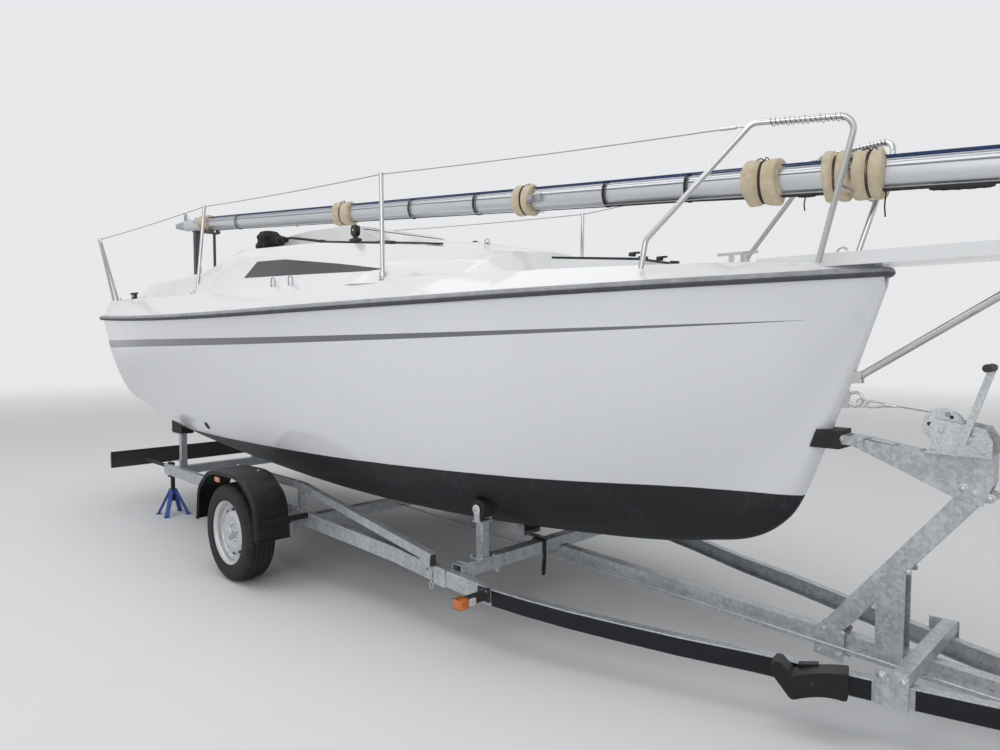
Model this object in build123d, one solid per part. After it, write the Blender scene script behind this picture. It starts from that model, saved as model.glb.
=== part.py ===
"""Small sailing yacht with lowered mast on its galvanised road trailer, one STEP file per node.

Every length is in millimetres. Shapes are built with x = 0 at the top of the stem, +X to the bow,
+Y to port, z = 0 on the ground, and moved by STEM_X on export so the whole object is centred on x = 0.
"""
from build123d import *
import math
import os

# whole object
STEM_X = 2870.0

# hull: x, keel z, bilge half-beam, bilge z, sheer half-beam, sheer z
HULL_STATIONS = [
    {"x": -6440.0, "keel": 770.0, "bilge_y": 800.0, "bilge_z": 1000.0, "sheer_y": 1060.0, "sheer_z": 1735.0},
    {"x": -5300.0, "keel": 610.0, "bilge_y": 880.0, "bilge_z": 860.0, "sheer_y": 1165.0, "sheer_z": 1712.0},
    {"x": -3900.0, "keel": 470.0, "bilge_y": 930.0, "bilge_z": 780.0, "sheer_y": 1210.0, "sheer_z": 1700.0},
    {"x": -2600.0, "keel": 415.0, "bilge_y": 850.0, "bilge_z": 710.0, "sheer_y": 1150.0, "sheer_z": 1702.0},
    {"x": -1500.0, "keel": 450.0, "bilge_y": 580.0, "bilge_z": 710.0, "sheer_y": 890.0, "sheer_z": 1728.0},
    {"x": -800.0, "keel": 530.0, "bilge_y": 270.0, "bilge_z": 860.0, "sheer_y": 575.0, "sheer_z": 1765.0},
    {"x": -380.0, "keel": 720.0, "bilge_y": 120.0, "bilge_z": 1060.0, "sheer_y": 310.0, "sheer_z": 1790.0},
    {"x": -160.0, "keel": 1260.0, "bilge_y": 70.0, "bilge_z": 1420.0, "sheer_y": 155.0, "sheer_z": 1803.0},
    {"x": 0.0, "keel": 1740.0, "bilge_y": 22.0, "bilge_z": 1770.0, "sheer_y": 35.0, "sheer_z": 1812.0},
]
HULL_PLACES = [-6440.0, -6000.0, -5500.0, -5000.0, -4400.0, -3800.0, -3200.0, -2700.0, -2250.0, -1850.0,
               -1500.0, -1200.0, -950.0, -750.0, -600.0, -480.0, -380.0, -280.0, -160.0, -70.0, 0.0]
SHEER_LINE = [(-6500.0, 1736.0), (-3300.0, 1699.0), (60.0, 1814.0)]
HULL_SIDE = 1400.0
HULL_TOP_Z = 1860.0
HULL_SKIN = 45.0
HULL_BULGE = 0.16

# deck: x, crease half-beam, crease z, middle z
DECK_STATIONS = [
    {"x": -6430.0, "crease_y": 985.0, "crease_z": 1900.0, "middle_z": 1930.0},
    {"x": -5300.0, "crease_y": 1010.0, "crease_z": 1880.0, "middle_z": 1920.0},
    {"x": -3900.0, "crease_y": 1010.0, "crease_z": 1868.0, "middle_z": 1930.0},
    {"x": -2600.0, "crease_y": 960.0, "crease_z": 1865.0, "middle_z": 1940.0},
    {"x": -1500.0, "crease_y": 700.0, "crease_z": 1868.0, "middle_z": 1930.0},
    {"x": -800.0, "crease_y": 400.0, "crease_z": 1872.0, "middle_z": 1905.0},
    {"x": -380.0, "crease_y": 190.0, "crease_z": 1868.0, "middle_z": 1880.0},
    {"x": -30.0, "crease_y": 30.0, "crease_z": 1845.0, "middle_z": 1850.0},
]
DECK_PLACES = [-6430.0, -5700.0, -4900.0, -4100.0, -3300.0, -2600.0, -2000.0, -1500.0, -1100.0, -780.0,
               -520.0, -300.0, -130.0, -30.0]
DECK_SKIN = 28.0

STRAKE_OUT = 26.0
STRAKE_HEIGHT = 42.0
STRAKE_NOSE = 24.0

# coachroof: x, foot half-beam, eaves half-beam, eaves z, shoulder half-beam, shoulder z, ridge z
ROOF_STATIONS = [
    {"x": -4560.0, "foot_y": 1000.0, "eaves_y": 890.0, "eaves_z": 2050.0, "top_y": 830.0, "top_z": 2070.0,
     "ridge_z": 2085.0},
    {"x": -4330.0, "foot_y": 1005.0, "eaves_y": 805.0, "eaves_z": 2140.0, "top_y": 700.0, "top_z": 2215.0,
     "ridge_z": 2260.0},
    {"x": -3400.0, "foot_y": 1000.0, "eaves_y": 780.0, "eaves_z": 2110.0, "top_y": 630.0, "top_z": 2190.0,
     "ridge_z": 2260.0},
    {"x": -2450.0, "foot_y": 975.0, "eaves_y": 790.0, "eaves_z": 1990.0, "top_y": 570.0, "top_z": 2095.0,
     "ridge_z": 2165.0},
    {"x": -1780.0, "foot_y": 800.0, "eaves_y": 600.0, "eaves_z": 1950.0, "top_y": 400.0, "top_z": 2015.0,
     "ridge_z": 2040.0},
    {"x": -1650.0, "foot_y": 640.0, "eaves_y": 540.0, "eaves_z": 1880.0, "top_y": 400.0, "top_z": 1905.0,
     "ridge_z": 1915.0},
]
ROOF_FOOT_Z = 1840.0
ROOF_SKIN = 28.0

COAMING_X = (-6280.0, -4450.0)
WELL_X = (-6200.0, -4640.0)
WELL_HALF = 430.0
WELL_FLOOR_Z = 1330.0
SEAT_HALF = 700.0
SEAT_Z = 1760.0
WELL_SKIN = 26.0
COAMING_SEAT_LIP = 20.0

GARAGE_X = (-4360.0, -2950.0)
GARAGE_HALF = 390.0
GARAGE_TOP_Z = 2345.0
COMPANION_HALF = 290.0
COMPANION_X = (-4420.0, -3760.0)

FOREHATCH_X = (-1590.0, -1030.0)
FOREHATCH_HALF = 275.0
FOREHATCH_SLOPE = 5.2
FOREHATCH_Z = 1968.0
FOREHATCH_FRAME = 34.0
FOREHATCH_PANE = 12.0
HATCH_PIN_X = -9.0
HATCH_PIN_Z = 8.0
HATCH_PIN_R = 3.5
HATCH_EAR_X = -11.0
HATCH_EAR_LENGTH = 12.0
SEAT_GAP = 0.3
SHAFT_GAP = 0.1

# mast
MAST_FOOT_X = 1450.0
MAST_HEAD_X = -7080.0
MAST_SLOPE = 0.0795
MAST_Z_AT_STEM = 2215.0
MAST_DEPTH = 120.0
MAST_WIDTH = 78.0
MAST_WALL = 4.0

# trailer
AXLE_X = -3430.0
TYRE_RADIUS = 310.0
TYRE_WIDTH = 190.0
TYRE_OUTER_Y = 1275.0
RIM_RADIUS = 190.0
RAIL_HEIGHT = 86.0
RAIL_WIDTH = 48.0
RAIL_WALL = 6.0
TUBE_X = -3280.0
AXLE_TUBE = 70.0
ARM_Y = (1036.0, 1086.0)
GUARD_OUT = 105.0
GUARD_SKIN = 8.0
ROLLER_Y = 640.0
ROLLER_Z = 640.0
ROLLER_R = 52.0
KEEL_ROLLER_X = -2000.0
KEEL_ROLLER_Z = 392.0
KEEL_ROLLER_R = 40.0
PAD_BASE_Z = 715.0
STRUT_FOOT = (-195.0, 0.0, 247.0)
STRUT_HEAD = (352.0, 0.0, 956.0)
STRUT_SIZE = 80.0
POST_LOW = 176.0
DRUM_AXIS = (231.0, 1193.0)
GEAR_TEETH = 40
PINION_TEETH = 8
GEAR_MODULE = 3.56
GEAR_TURN = -0.33
GEAR_DISTANCE = GEAR_MODULE * (GEAR_TEETH + PINION_TEETH) / 2
CRANK_AXIS = (DRUM_AXIS[0] + GEAR_DISTANCE * math.cos(GEAR_TURN), DRUM_AXIS[1] + GEAR_DISTANCE * math.sin(GEAR_TURN))
BOARD_HALF = 1060.0
MARKER_INSET = 26.0
CHOCK_X = -105.0
COUPLING_Z = 272.0
SOCKET_X = 1557.0
JOCKEY_X = 1275.0
JOCKEY_Y = -112.0
JOCKEY_R = 100.0
# rail: x, y, top z
RAIL_POINTS = [
    {"x": -5650.0, "y": 800.0, "top": 423.0},
    {"x": -4300.0, "y": 900.0, "top": 461.0},
    {"x": -3000.0, "y": 925.0, "top": 451.0},
    {"x": -2200.0, "y": 874.0, "top": 397.0},
    {"x": -1830.0, "y": 850.0, "top": 354.0},
    {"x": -1500.0, "y": 812.0, "top": 316.0},
    {"x": -1300.0, "y": 768.0, "top": 302.0},
    {"x": -1100.0, "y": 712.0, "top": 288.0},
    {"x": -900.0, "y": 650.0, "top": 277.0},
    {"x": -600.0, "y": 566.0, "top": 268.0},
    {"x": -300.0, "y": 462.0, "top": 259.0},
    {"x": 0.0, "y": 374.0, "top": 246.0},
    {"x": 200.0, "y": 308.0, "top": 237.0},
    {"x": 400.0, "y": 246.0, "top": 231.0},
    {"x": 700.0, "y": 148.0, "top": 222.0},
    {"x": 1000.0, "y": 54.0, "top": 215.6},
]
BEAM_X = (-2050.0, 1120.0)
BEAM_TOP_START = 336.0
BEAM_TOP_END = 205.0
BEAM_HEIGHT = 88.0
BEAM_WIDTH = 60.0
CROSS_X = -1750.0
CROSS_TOP = 380.0
CROSS_SIZE = 70.0
REAR_CROSS_X = -5480.0
NOSE_CROSS_X = 138.0
NOSE_CROSS_HEIGHT = 54.0


# small helpers
def block(x0, x1, y0, y1, z0, z1):
    """A box given by its limits."""
    size = (abs(x1 - x0), abs(y1 - y0), abs(z1 - z0))
    middle = ((x0 + x1) / 2, (y0 + y1) / 2, (z0 + z1) / 2)
    return Location(middle) * Box(*size)


def rod(start, end, radius):
    """A round bar between two points."""
    first = Vector(*start)
    last = Vector(*end)
    along = last - first
    plane = Plane(origin=first, z_dir=along)
    return extrude(plane * Circle(radius), along.length)


def pipe(points, radius, bend):
    """A bent tube through corner points."""
    path = FilletPolyline(*points, radius=bend)
    return sweep(Plane(origin=path @ 0, z_dir=path % 0) * Circle(radius), path=path)


def side_plate(points, y0, y1):
    """A flat outline in x, z made thick from y0 to y1."""
    outline = make_face(Polyline(*[(x, y0, z) for x, z in points], close=True))
    return extrude(outline, amount=abs(y1 - y0), dir=(0, 1 if y1 > y0 else -1, 0))


def top_plate(points, z0, z1):
    """A flat outline in x, y made thick from z0 to z1."""
    outline = make_face(Polyline(*[(x, y, z0) for x, y in points], close=True))
    return extrude(outline, amount=abs(z1 - z0), dir=(0, 0, 1 if z1 > z0 else -1))


def end_plate(points, x0, x1):
    """A flat outline in y, z made thick from x0 to x1."""
    outline = make_face(Polyline(*[(x0, y, z) for y, z in points], close=True))
    return extrude(outline, amount=abs(x1 - x0), dir=(1 if x1 > x0 else -1, 0, 0))


def across(radius, x, z, y0, y1):
    """A cylinder whose axis runs along Y."""
    return rod((x, y0, z), (x, y1, z), radius)


def upright(radius, x, y, z0, z1):
    """A cylinder whose axis runs along Z."""
    return rod((x, y, z0), (x, y, z1), radius)


def bar(start, end, width, height):
    """A rectangular bar from start to end; width lies level and square to the run."""
    first = Vector(*start)
    last = Vector(*end)
    along = (last - first).normalized()
    level = Vector(0, 0, 1).cross(along).normalized()
    plane = Plane(origin=first, x_dir=level, z_dir=along)
    return extrude(plane * Rectangle(width, height), (last - first).length)


def group(shapes):
    """Solids kept as one node."""
    solids = []
    for shape in shapes:
        solids.extend(shape.solids())
    return Compound(children=solids)


def mirrored(shape):
    """The same shape on the other side."""
    return mirror(shape, about=Plane.XZ)


def both(shape):
    """A shape and its mirror image as one node."""
    return group([shape, mirrored(shape)])


# hull and deck
def fair(rows, key, x):
    """Smooth value between table rows, by slopes of the neighbouring rows."""
    last = len(rows) - 1
    index = 0
    while index < last - 1 and rows[index + 1]["x"] < x:
        index += 1
    first = rows[index]
    second = rows[index + 1]
    span = second["x"] - first["x"]
    before = rows[max(index - 1, 0)]
    after = rows[min(index + 2, last)]
    slope_first = (second[key] - before[key]) / (second["x"] - before["x"])
    slope_second = (after[key] - first[key]) / (after["x"] - first["x"])
    share = (x - first["x"]) / span
    cube = share ** 3
    square = share ** 2
    return (
        (2 * cube - 3 * square + 1) * first[key]
        + (cube - 2 * square + share) * span * slope_first
        + (3 * square - 2 * cube) * second[key]
        + (cube - square) * span * slope_second
    )


def faired(rows, places):
    """The table's rows at more places, smoothed."""
    keys = [key for key in rows[0] if key != "x"]
    result = []
    for x in places:
        row = {"x": x}
        for key in keys:
            row[key] = fair(rows, key, x)
        result.append(row)
    return result


def hull_section(station):
    """One closed hull frame: two arcs a side, a straight topside and a level top."""
    x = station["x"]
    keel = station["keel"]
    bilge_y = station["bilge_y"]
    bilge_z = station["bilge_z"]
    sheer_y = station["sheer_y"]
    sheer_z = station["sheer_z"]
    low = (bilge_y * 0.56, keel + (bilge_z - keel) * 0.30)
    rise = sheer_z - bilge_z
    high = (bilge_y + (sheer_y - bilge_y) * (0.5 + HULL_BULGE), bilge_z + rise * 0.47)
    right = [
        ThreePointArc((x, 0, keel), (x, low[0], low[1]), (x, bilge_y, bilge_z)),
        ThreePointArc((x, bilge_y, bilge_z), (x, high[0], high[1]), (x, sheer_y, sheer_z)),
        Line((x, sheer_y, sheer_z), (x, sheer_y, HULL_TOP_Z)),
    ]
    left = [
        Line((x, -sheer_y, HULL_TOP_Z), (x, -sheer_y, sheer_z)),
        ThreePointArc((x, -sheer_y, sheer_z), (x, -high[0], high[1]), (x, -bilge_y, bilge_z)),
        ThreePointArc((x, -bilge_y, bilge_z), (x, -low[0], low[1]), (x, 0, keel)),
    ]
    top = [Line((x, sheer_y, HULL_TOP_Z), (x, -sheer_y, HULL_TOP_Z))]
    return make_face(right + top + left)


def sheer_band(low, high):
    """The space between two heights above the sheer line."""
    lower = ThreePointArc(*[(x, -HULL_SIDE, z + low) for x, z in SHEER_LINE])
    upper = ThreePointArc(*[(x, -HULL_SIDE, z + high) for x, z in reversed(SHEER_LINE)])
    outline = make_face([lower, Line(lower @ 1, upper @ 0), upper, Line(upper @ 1, lower @ 0)])
    return extrude(outline, amount=2 * HULL_SIDE, dir=(0, 1, 0))


def hull_outer():
    """The hull as a full body up to the sheer line."""
    tall = loft([hull_section(row) for row in faired(HULL_STATIONS, HULL_PLACES)], ruled=True)
    return tall & sheer_band(-1600.0, 0.0)


def hull_inner():
    """The space inside the hull, of flat panels."""
    faces = []
    for row in HULL_STATIONS[:7]:
        x = row["x"] + (HULL_SKIN if row is HULL_STATIONS[0] else 0.0)
        keel = row["keel"] + HULL_SKIN * 1.5
        bilge_y = row["bilge_y"] - HULL_SKIN * 1.1
        bilge_z = row["bilge_z"] + HULL_SKIN * 0.9
        top_y = row["sheer_y"] - HULL_SKIN * 1.5
        top_z = row["sheer_z"] + 60.0
        points = [(0, keel), (bilge_y, bilge_z), (top_y, top_z), (-top_y, top_z), (-bilge_y, bilge_z)]
        faces.append(make_face(Polyline(*[(x, y, z) for y, z in points], close=True)))
    return loft(faces, ruled=True)


def sheer_slab(grow, nose):
    """A slab that follows the sheer line, wider than the hull by grow."""
    faces = []
    rows = faired(HULL_STATIONS, HULL_PLACES)
    for row in rows:
        x = row["x"]
        if row is rows[-1]:
            x += nose
        half = row["sheer_y"] + grow
        points = [(half, 1500), (half, 2000), (-half, 2000), (-half, 1500)]
        faces.append(make_face(Polyline(*[(x, y, z) for y, z in points], close=True)))
    return loft(faces, ruled=True)


def sheer_at(x, key):
    """A hull station value between the stations."""
    return fair(HULL_STATIONS, key, x)


def deck_body(drop, inset, places):
    """Sections of the deck moulding without the coachroof."""
    faces = []
    for row in faired(DECK_STATIONS, places):
        x = row["x"]
        edge = sheer_at(x, "sheer_y") - 4.0 - inset
        rim = sheer_at(x, "sheer_z") + 4.0 - drop
        crease = row["crease_y"] - inset * 0.7
        points = [
            (edge, 1600.0),
            (edge, rim),
            (crease, row["crease_z"] - drop),
            (0, row["middle_z"] - drop),
            (-crease, row["crease_z"] - drop),
            (-edge, rim),
            (-edge, 1600.0),
        ]
        faces.append(make_face(Polyline(*[(x, y, z) for y, z in points], close=True)))
    return faces


def roof_faces(drop, inset):
    """Sections of the coachroof."""
    faces = []
    for row in ROOF_STATIONS:
        foot = row["foot_y"] - inset
        eaves = row["eaves_y"] - inset
        top = row["top_y"] - inset * 0.8
        points = [
            (foot, ROOF_FOOT_Z - drop),
            (eaves, row["eaves_z"] - drop * 0.6),
            (top, row["top_z"] - drop),
            (0, row["ridge_z"] - drop),
            (-top, row["top_z"] - drop),
            (-eaves, row["eaves_z"] - drop * 0.6),
            (-foot, ROOF_FOOT_Z - drop),
        ]
        x = row["x"]
        if row is ROOF_STATIONS[0]:
            x += inset * 2.4
        if row is ROOF_STATIONS[-1]:
            x -= inset * 2.0
        faces.append(make_face(Polyline(*[(x, y, z) for y, z in points], close=True)))
    return faces


def coaming():
    """Cockpit coaming on the port side, as a full body from the coachroof to the quarter."""
    faces = []
    rows = [
        {"x": COAMING_X[0], "out": SEAT_HALF + 200.0, "top_out": SEAT_HALF + 120.0, "top": 1935.0},
        {"x": -5750.0, "out": SEAT_HALF + 240.0, "top_out": SEAT_HALF + 160.0, "top": 2030.0},
        {"x": COAMING_X[1], "out": SEAT_HALF + 240.0, "top_out": SEAT_HALF + 180.0, "top": 2062.0},
    ]
    for row in rows:
        points = [
            (row["out"], 1850.0),
            (row["top_out"], row["top"] - 20.0),
            (row["top_out"] - 30.0, row["top"]),
            (SEAT_HALF + COAMING_SEAT_LIP, row["top"]),
            (SEAT_HALF - 10.0, 1850.0),
        ]
        faces.append(make_face(Polyline(*[(row["x"], y, z) for y, z in points], close=True)))
    return loft(faces, ruled=True)


def window_cut(y0, y1, grow):
    """The side window outline, pushed through from y0 to y1."""
    corners = [
        (-3872.0 - grow, 1961.0 - grow),
        (-3845.0 - grow * 0.4, 2080.0 + grow),
        (-3460.0, 2068.0 + grow),
        (-2800.0, 1990.0 + grow),
        (-2335.0 + grow * 3, 1926.0),
        (-2440.0, 1917.0 - grow),
    ]
    return side_plate(corners, y0, y1)


def build_hull(outer):
    """Hull shell with the through-hull outlet."""
    shell = outer - hull_inner()
    outlet = rod((-4340.0, -700.0, 905.0), (-4340.0, -1300.0, 865.0), 19.0)
    return shell - outlet


def build_deck(outer):
    """Deck, coachroof, coamings and cockpit well as one moulding, hollow below."""
    deck = loft(deck_body(0.0, 0.0, DECK_PLACES), ruled=True)
    roof = loft(roof_faces(0.0, 0.0), ruled=True)
    garage = side_plate([
        (GARAGE_X[0], 2180.0),
        (GARAGE_X[0] + 60.0, GARAGE_TOP_Z - 18.0),
        (-3900.0, GARAGE_TOP_Z),
        (-3300.0, GARAGE_TOP_Z - 20.0),
        (GARAGE_X[1], 2190.0),
    ], -GARAGE_HALF, GARAGE_HALF)
    port = coaming()
    full = deck + roof + garage + port + mirrored(port)
    full -= loft(deck_body(DECK_SKIN, 55.0, [-6370.0, *DECK_PLACES[1:11]]), ruled=True)
    full -= loft(roof_faces(ROOF_SKIN, ROOF_SKIN), ruled=True)
    full -= block(GARAGE_X[0] + 90.0, -3200.0, -GARAGE_HALF + 24, GARAGE_HALF - 24, 2150, GARAGE_TOP_Z - 48)
    skin = WELL_SKIN
    tub = block(WELL_X[0] - skin, WELL_X[1] + skin, -SEAT_HALF - skin, SEAT_HALF + skin, SEAT_Z - skin, 1900)
    tub += block(WELL_X[0] - skin, WELL_X[1] + skin, -WELL_HALF - skin, WELL_HALF + skin, WELL_FLOOR_Z - skin, 1860)
    full += tub
    full -= block(WELL_X[0], WELL_X[1], -WELL_HALF, WELL_HALF, WELL_FLOOR_Z, 2300)
    full -= block(WELL_X[0], WELL_X[1], -SEAT_HALF, SEAT_HALF, SEAT_Z, 2300)
    full -= block(WELL_X[1] - 10, COMPANION_X[0] + 150, -COMPANION_HALF, COMPANION_HALF, 1700, 2300)
    full -= block(COMPANION_X[0], COMPANION_X[1], -COMPANION_HALF, COMPANION_HALF, 2100, 2290)
    full -= window_cut(500, 1000, 0.0)
    full -= window_cut(-500, -1000, 0.0)
    full -= forehatch_hole()
    return full & (sheer_band(0.0, 900.0) + block(-6300.0, -4500.0, -900, 900, 1200, 1800))


def forehatch_plane():
    """The tilted plane the forehatch lies in, at its aft edge."""
    return Plane(origin=(FOREHATCH_X[0], 0, FOREHATCH_Z), x_dir=(math.cos(math.radians(FOREHATCH_SLOPE)), 0,
                 -math.sin(math.radians(FOREHATCH_SLOPE))), z_dir=(math.sin(math.radians(FOREHATCH_SLOPE)), 0,
                 math.cos(math.radians(FOREHATCH_SLOPE))))


def hatch_box(x0, x1, half, low, high):
    """A box in the forehatch plane."""
    at = forehatch_plane()
    return at * (Location(((x0 + x1) / 2, 0, (low + high) / 2)) * Box(x1 - x0, half * 2, high - low))


def forehatch_hole():
    """The opening below the forehatch."""
    length = FOREHATCH_X[1] - FOREHATCH_X[0]
    inner = FOREHATCH_FRAME
    return hatch_box(inner, length - inner, FOREHATCH_HALF - inner, -200.0, 300.0)


def build_forehatch_frame(deck):
    """Frame on the deck round the forehatch opening."""
    length = FOREHATCH_X[1] - FOREHATCH_X[0]
    ring = hatch_box(0, length, FOREHATCH_HALF, -110.0, 0.0)
    ring -= hatch_box(FOREHATCH_FRAME, length - FOREHATCH_FRAME, FOREHATCH_HALF - FOREHATCH_FRAME, -220.0, 90.0)
    ring -= deck
    solids = sorted(ring.solids(), key=lambda part: part.bounding_box().max.Z)
    ears = []
    for y in (-170.0, 170.0):
        ear = Location((-9, y, -8)) * Box(18, 36, 16)
        for side in (-1, 1):
            ear += Location((HATCH_EAR_X, y + side * 15, 0)) * Box(HATCH_EAR_LENGTH, 6, 30)
        ear = forehatch_plane() * ear
        ears.append(ear + hatch_pin(HATCH_PIN_R, y - 18, y + 18))
    return group([solids[-1]] + ears)


def hatch_pin(radius, y0, y1):
    """A cylinder on the forehatch's hinge axis."""
    middle = Location((HATCH_PIN_X, (y0 + y1) / 2, HATCH_PIN_Z))
    return forehatch_plane() * (middle * Rotation(90, 0, 0) * Cylinder(radius, y1 - y0))


def build_forehatch_lid():
    """The tinted lid with its rim and two handles."""
    length = FOREHATCH_X[1] - FOREHATCH_X[0]
    lid = hatch_box(0, length, FOREHATCH_HALF, SEAT_GAP, SEAT_GAP + FOREHATCH_PANE)
    for y in (-150.0, 150.0):
        lid += forehatch_plane() * (Location((length - 60, y, 20)) * Box(46, 20, 16))
    for y in (-170.0, 170.0):
        lid += hatch_pin(7.0, y - 11, y + 11)
        lid += forehatch_plane() * (Location((0, y, 8)) * Box(16, 22, 8))
        lid -= hatch_pin(HATCH_PIN_R + SHAFT_GAP, y - 30, y + 30)
    return lid


def build_strake(outer, deck):
    """Rubbing strake round the sheer, outside the hull and the deck."""
    ring = sheer_slab(STRAKE_OUT, STRAKE_NOSE) & sheer_band(-STRAKE_HEIGHT / 2, STRAKE_HEIGHT / 2)
    ring -= outer
    ring -= loft(deck_body(0.0, 0.0, DECK_PLACES), ruled=True)
    solids = sorted(ring.solids(), key=lambda part: part.volume)
    return solids[-1]


def build_windows():
    """Two tinted side panes set in the coachroof sides."""
    panes = []
    roof = loft(roof_faces(0.0, 0.0), ruled=True)
    inner = loft(roof_faces(6.0, 7.0), ruled=True)
    pane = (window_cut(500, 1000, -1.0) & roof) - inner
    solids = sorted(pane.solids(), key=lambda part: part.volume)
    panes.append(solids[-1])
    panes.append(mirrored(solids[-1]))
    return group(panes)


def build_liner():
    """Cabin sole, berths, step and bulkhead."""
    sole = block(-4350.0, -2300.0, -260.0, 260.0, 640.0, 665.0)
    port = block(-4300.0, -2300.0, 260.0, 660.0, 640.0, 1080.0)
    starboard = mirrored(port)
    front = top_plate([(-2300.0, -600.0), (-1500.0, -330.0), (-1500.0, 330.0), (-2300.0, 600.0)], 1000.0, 1100.0)
    step = block(-4350.0, -4150.0, -260.0, 260.0, 665.0, 1000.0)
    inside = hull_inner() & block(-6400, -300, -1300, 1300, 300, 1690)
    return group([part & inside for part in (sole, port, starboard, front, step)])


def build_washboard():
    """Board that closes the companionway below the hatch."""
    return block(WELL_X[1] + 8, WELL_X[1] + 22, -COMPANION_HALF, COMPANION_HALF, 1700.0, 1880.0)


def build_companion_hatch():
    """Sliding hatch over the companionway."""
    top = block(COMPANION_X[0] + 10, COMPANION_X[1] - 4, -COMPANION_HALF + SEAT_GAP, COMPANION_HALF - SEAT_GAP,
                GARAGE_TOP_Z - 84, GARAGE_TOP_Z - 62)
    return top


# deck fittings
def build_bowsprit(deck, strake):
    """Flat bowsprit plank with its tip fitting."""
    plank = top_plate([(-500, -140), (-520, 0), (-500, 140), (640, 120), (660, 60), (660, -60), (640, -120)],
                      1838.0, 1893.0)
    plank -= deck
    plank -= strake
    solids = sorted(plank.solids(), key=lambda part: part.volume)
    return solids[-1]


def build_strut(outer):
    """Stainless strut below the bowsprit with flat eye ends."""
    tube = rod((-96.0, 0, 1375.0), (575.0, 0, 1815.0), 16.0)
    foot = across(20.0, -98.0, 1372.0, -8.0, 8.0)
    head = across(20.0, 585.0, 1822.0, -8.0, 8.0) & block(500, 700, -20, 20, 1780, 1837)
    return (tube + foot + head) - outer


def build_stem_fittings(outer, strut):
    """Strut bracket and bow eye on the stem."""
    bracket = block(-190.0, -85.0, -22.0, -9.0, 1345.0, 1395.0)
    bracket += block(-190.0, -85.0, 9.0, 22.0, 1345.0, 1395.0)
    bracket += block(-190.0, -128.0, -22.0, 22.0, 1340.0, 1400.0)
    bracket -= outer
    bracket -= strut
    loop = Location((-112.0, 0, 1275.0), (90, 0, 0)) * Torus(30.0, 6.0)
    eye = loop + block(-200.0, -136.0, -8.0, 8.0, 1235.0, 1315.0)
    eye -= outer
    parts = []
    for shape in (bracket, eye):
        solids = sorted(shape.solids(), key=lambda part: part.volume)
        parts.append(solids[-1])
    return group(parts)


def drop_foot(shape, deck):
    """Trims what stands in the deck and keeps the largest solid."""
    trimmed = shape - deck
    solids = sorted(trimmed.solids(), key=lambda part: part.volume)
    return solids[-1]


def build_pulpit(deck):
    """Two bow loops of stainless tube with the cross tube the mast rests on."""
    loop = pipe([
        (-870.0, 500.0, 1850.0),
        (-850.0, 495.0, 1975.0),
        (-415.0, 382.0, 2424.0),
        (-46.0, 250.0, 2408.0),
        (-205.0, 200.0, 1850.0),
    ], 12.5, 55.0)
    loop = drop_foot(loop, deck)
    rest = rod((-128.0, -222.0, 2152.0), (-128.0, 222.0, 2152.0), 11.0)
    return loop + mirrored(loop) + rest


def build_stanchions(deck):
    """Four stanchions with round bases."""
    posts = []
    for x, y, lean, low, high in ((-4600.0, 940.0, -72.0, 1850.0, 2562.0), (-2290.0, 880.0, 6.0, 1840.0, 2440.0)):
        post = rod((x, y, low), (x, y + lean, high), 12.5)
        post += rod((x, y, low), (x, y + 0.5, low + 62.0), 19.0)
        post = drop_foot(post, deck)
        posts.append(post)
        posts.append(mirrored(post))
    return group(posts)


def build_pushpit(deck):
    """Stern corner rails of two thin tubes each."""
    rail = pipe([
        (-6405.0, 950.0, 1800.0),
        (-6335.0, 1100.0, 2450.0),
        (-6150.0, 1150.0, 2435.0),
        (-6240.0, 960.0, 1800.0),
    ], 11.0, 40.0)
    rail = drop_foot(rail, deck)
    return both(rail)


def build_chainplates(deck):
    """Shroud eyes beside the windows."""
    eyes = []
    for x in (-3340.0, -3120.0):
        loop = Location((x, 975.0, 1905.0), (90, 0, 0)) * Torus(24.0, 4.5)
        legs = rod((x - 24.0, 975.0, 1850.0), (x - 24.0, 975.0, 1905.0), 4.5)
        legs += rod((x + 24.0, 975.0, 1850.0), (x + 24.0, 975.0, 1905.0), 4.5)
        loop &= block(x - 60, x + 60, 900, 1050, 1905, 2000)
        eye = drop_parts(loop + legs, deck)
        eyes.extend(eye)
        eyes.extend([mirrored(part) for part in eye])
    return group(eyes)


def drop_parts(shape, deck):
    """Trims what stands in the deck and keeps what is left above it."""
    trimmed = shape - deck
    kept = [part for part in trimmed.solids() if part.bounding_box().max.Z > 1925.0]
    return kept


def build_cleats(deck):
    """Bow cleat on the foredeck and two stern cleats."""
    horn = block(-760.0, -560.0, -10.0, 10.0, 1935.0, 1948.0)
    horn += block(-700.0, -680.0, -10.0, 10.0, 1850.0, 1940.0)
    horn += block(-640.0, -620.0, -10.0, 10.0, 1850.0, 1940.0)
    bow = drop_foot(horn, deck)
    stern = block(-6120.0, -5960.0, 900.0, 918.0, 1945.0, 1958.0)
    stern += block(-6075.0, -6005.0, 896.0, 922.0, 1850.0, 1950.0)
    stern = drop_foot(stern, deck)
    return group([bow, stern, mirrored(stern)])


def build_jib_tracks(deck):
    """Short tracks on the roof edges with one car each."""
    track = bar((-3420.0, 560.0, 2216.0), (-2680.0, 520.0, 2140.0), 26.0, 30.0)
    car = block(-3140.0, -3070.0, 520.0, 565.0, 2190.0, 2290.0)
    track = drop_foot(track + car, deck)
    return both(track)


# mast
def mast_z(x):
    """Height of the mast's centre line over x."""
    return MAST_Z_AT_STEM - MAST_SLOPE * x


def mast_plane(x):
    """Plane across the mast at x, its z axis towards the foot."""
    return Plane(origin=(x, 0, mast_z(x)), x_dir=(0, 1, 0), z_dir=(1, 0, -MAST_SLOPE))


def mast_length(x0, x1):
    """Length along the mast between two x values."""
    return (x1 - x0) * math.sqrt(1 + MAST_SLOPE ** 2)


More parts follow.
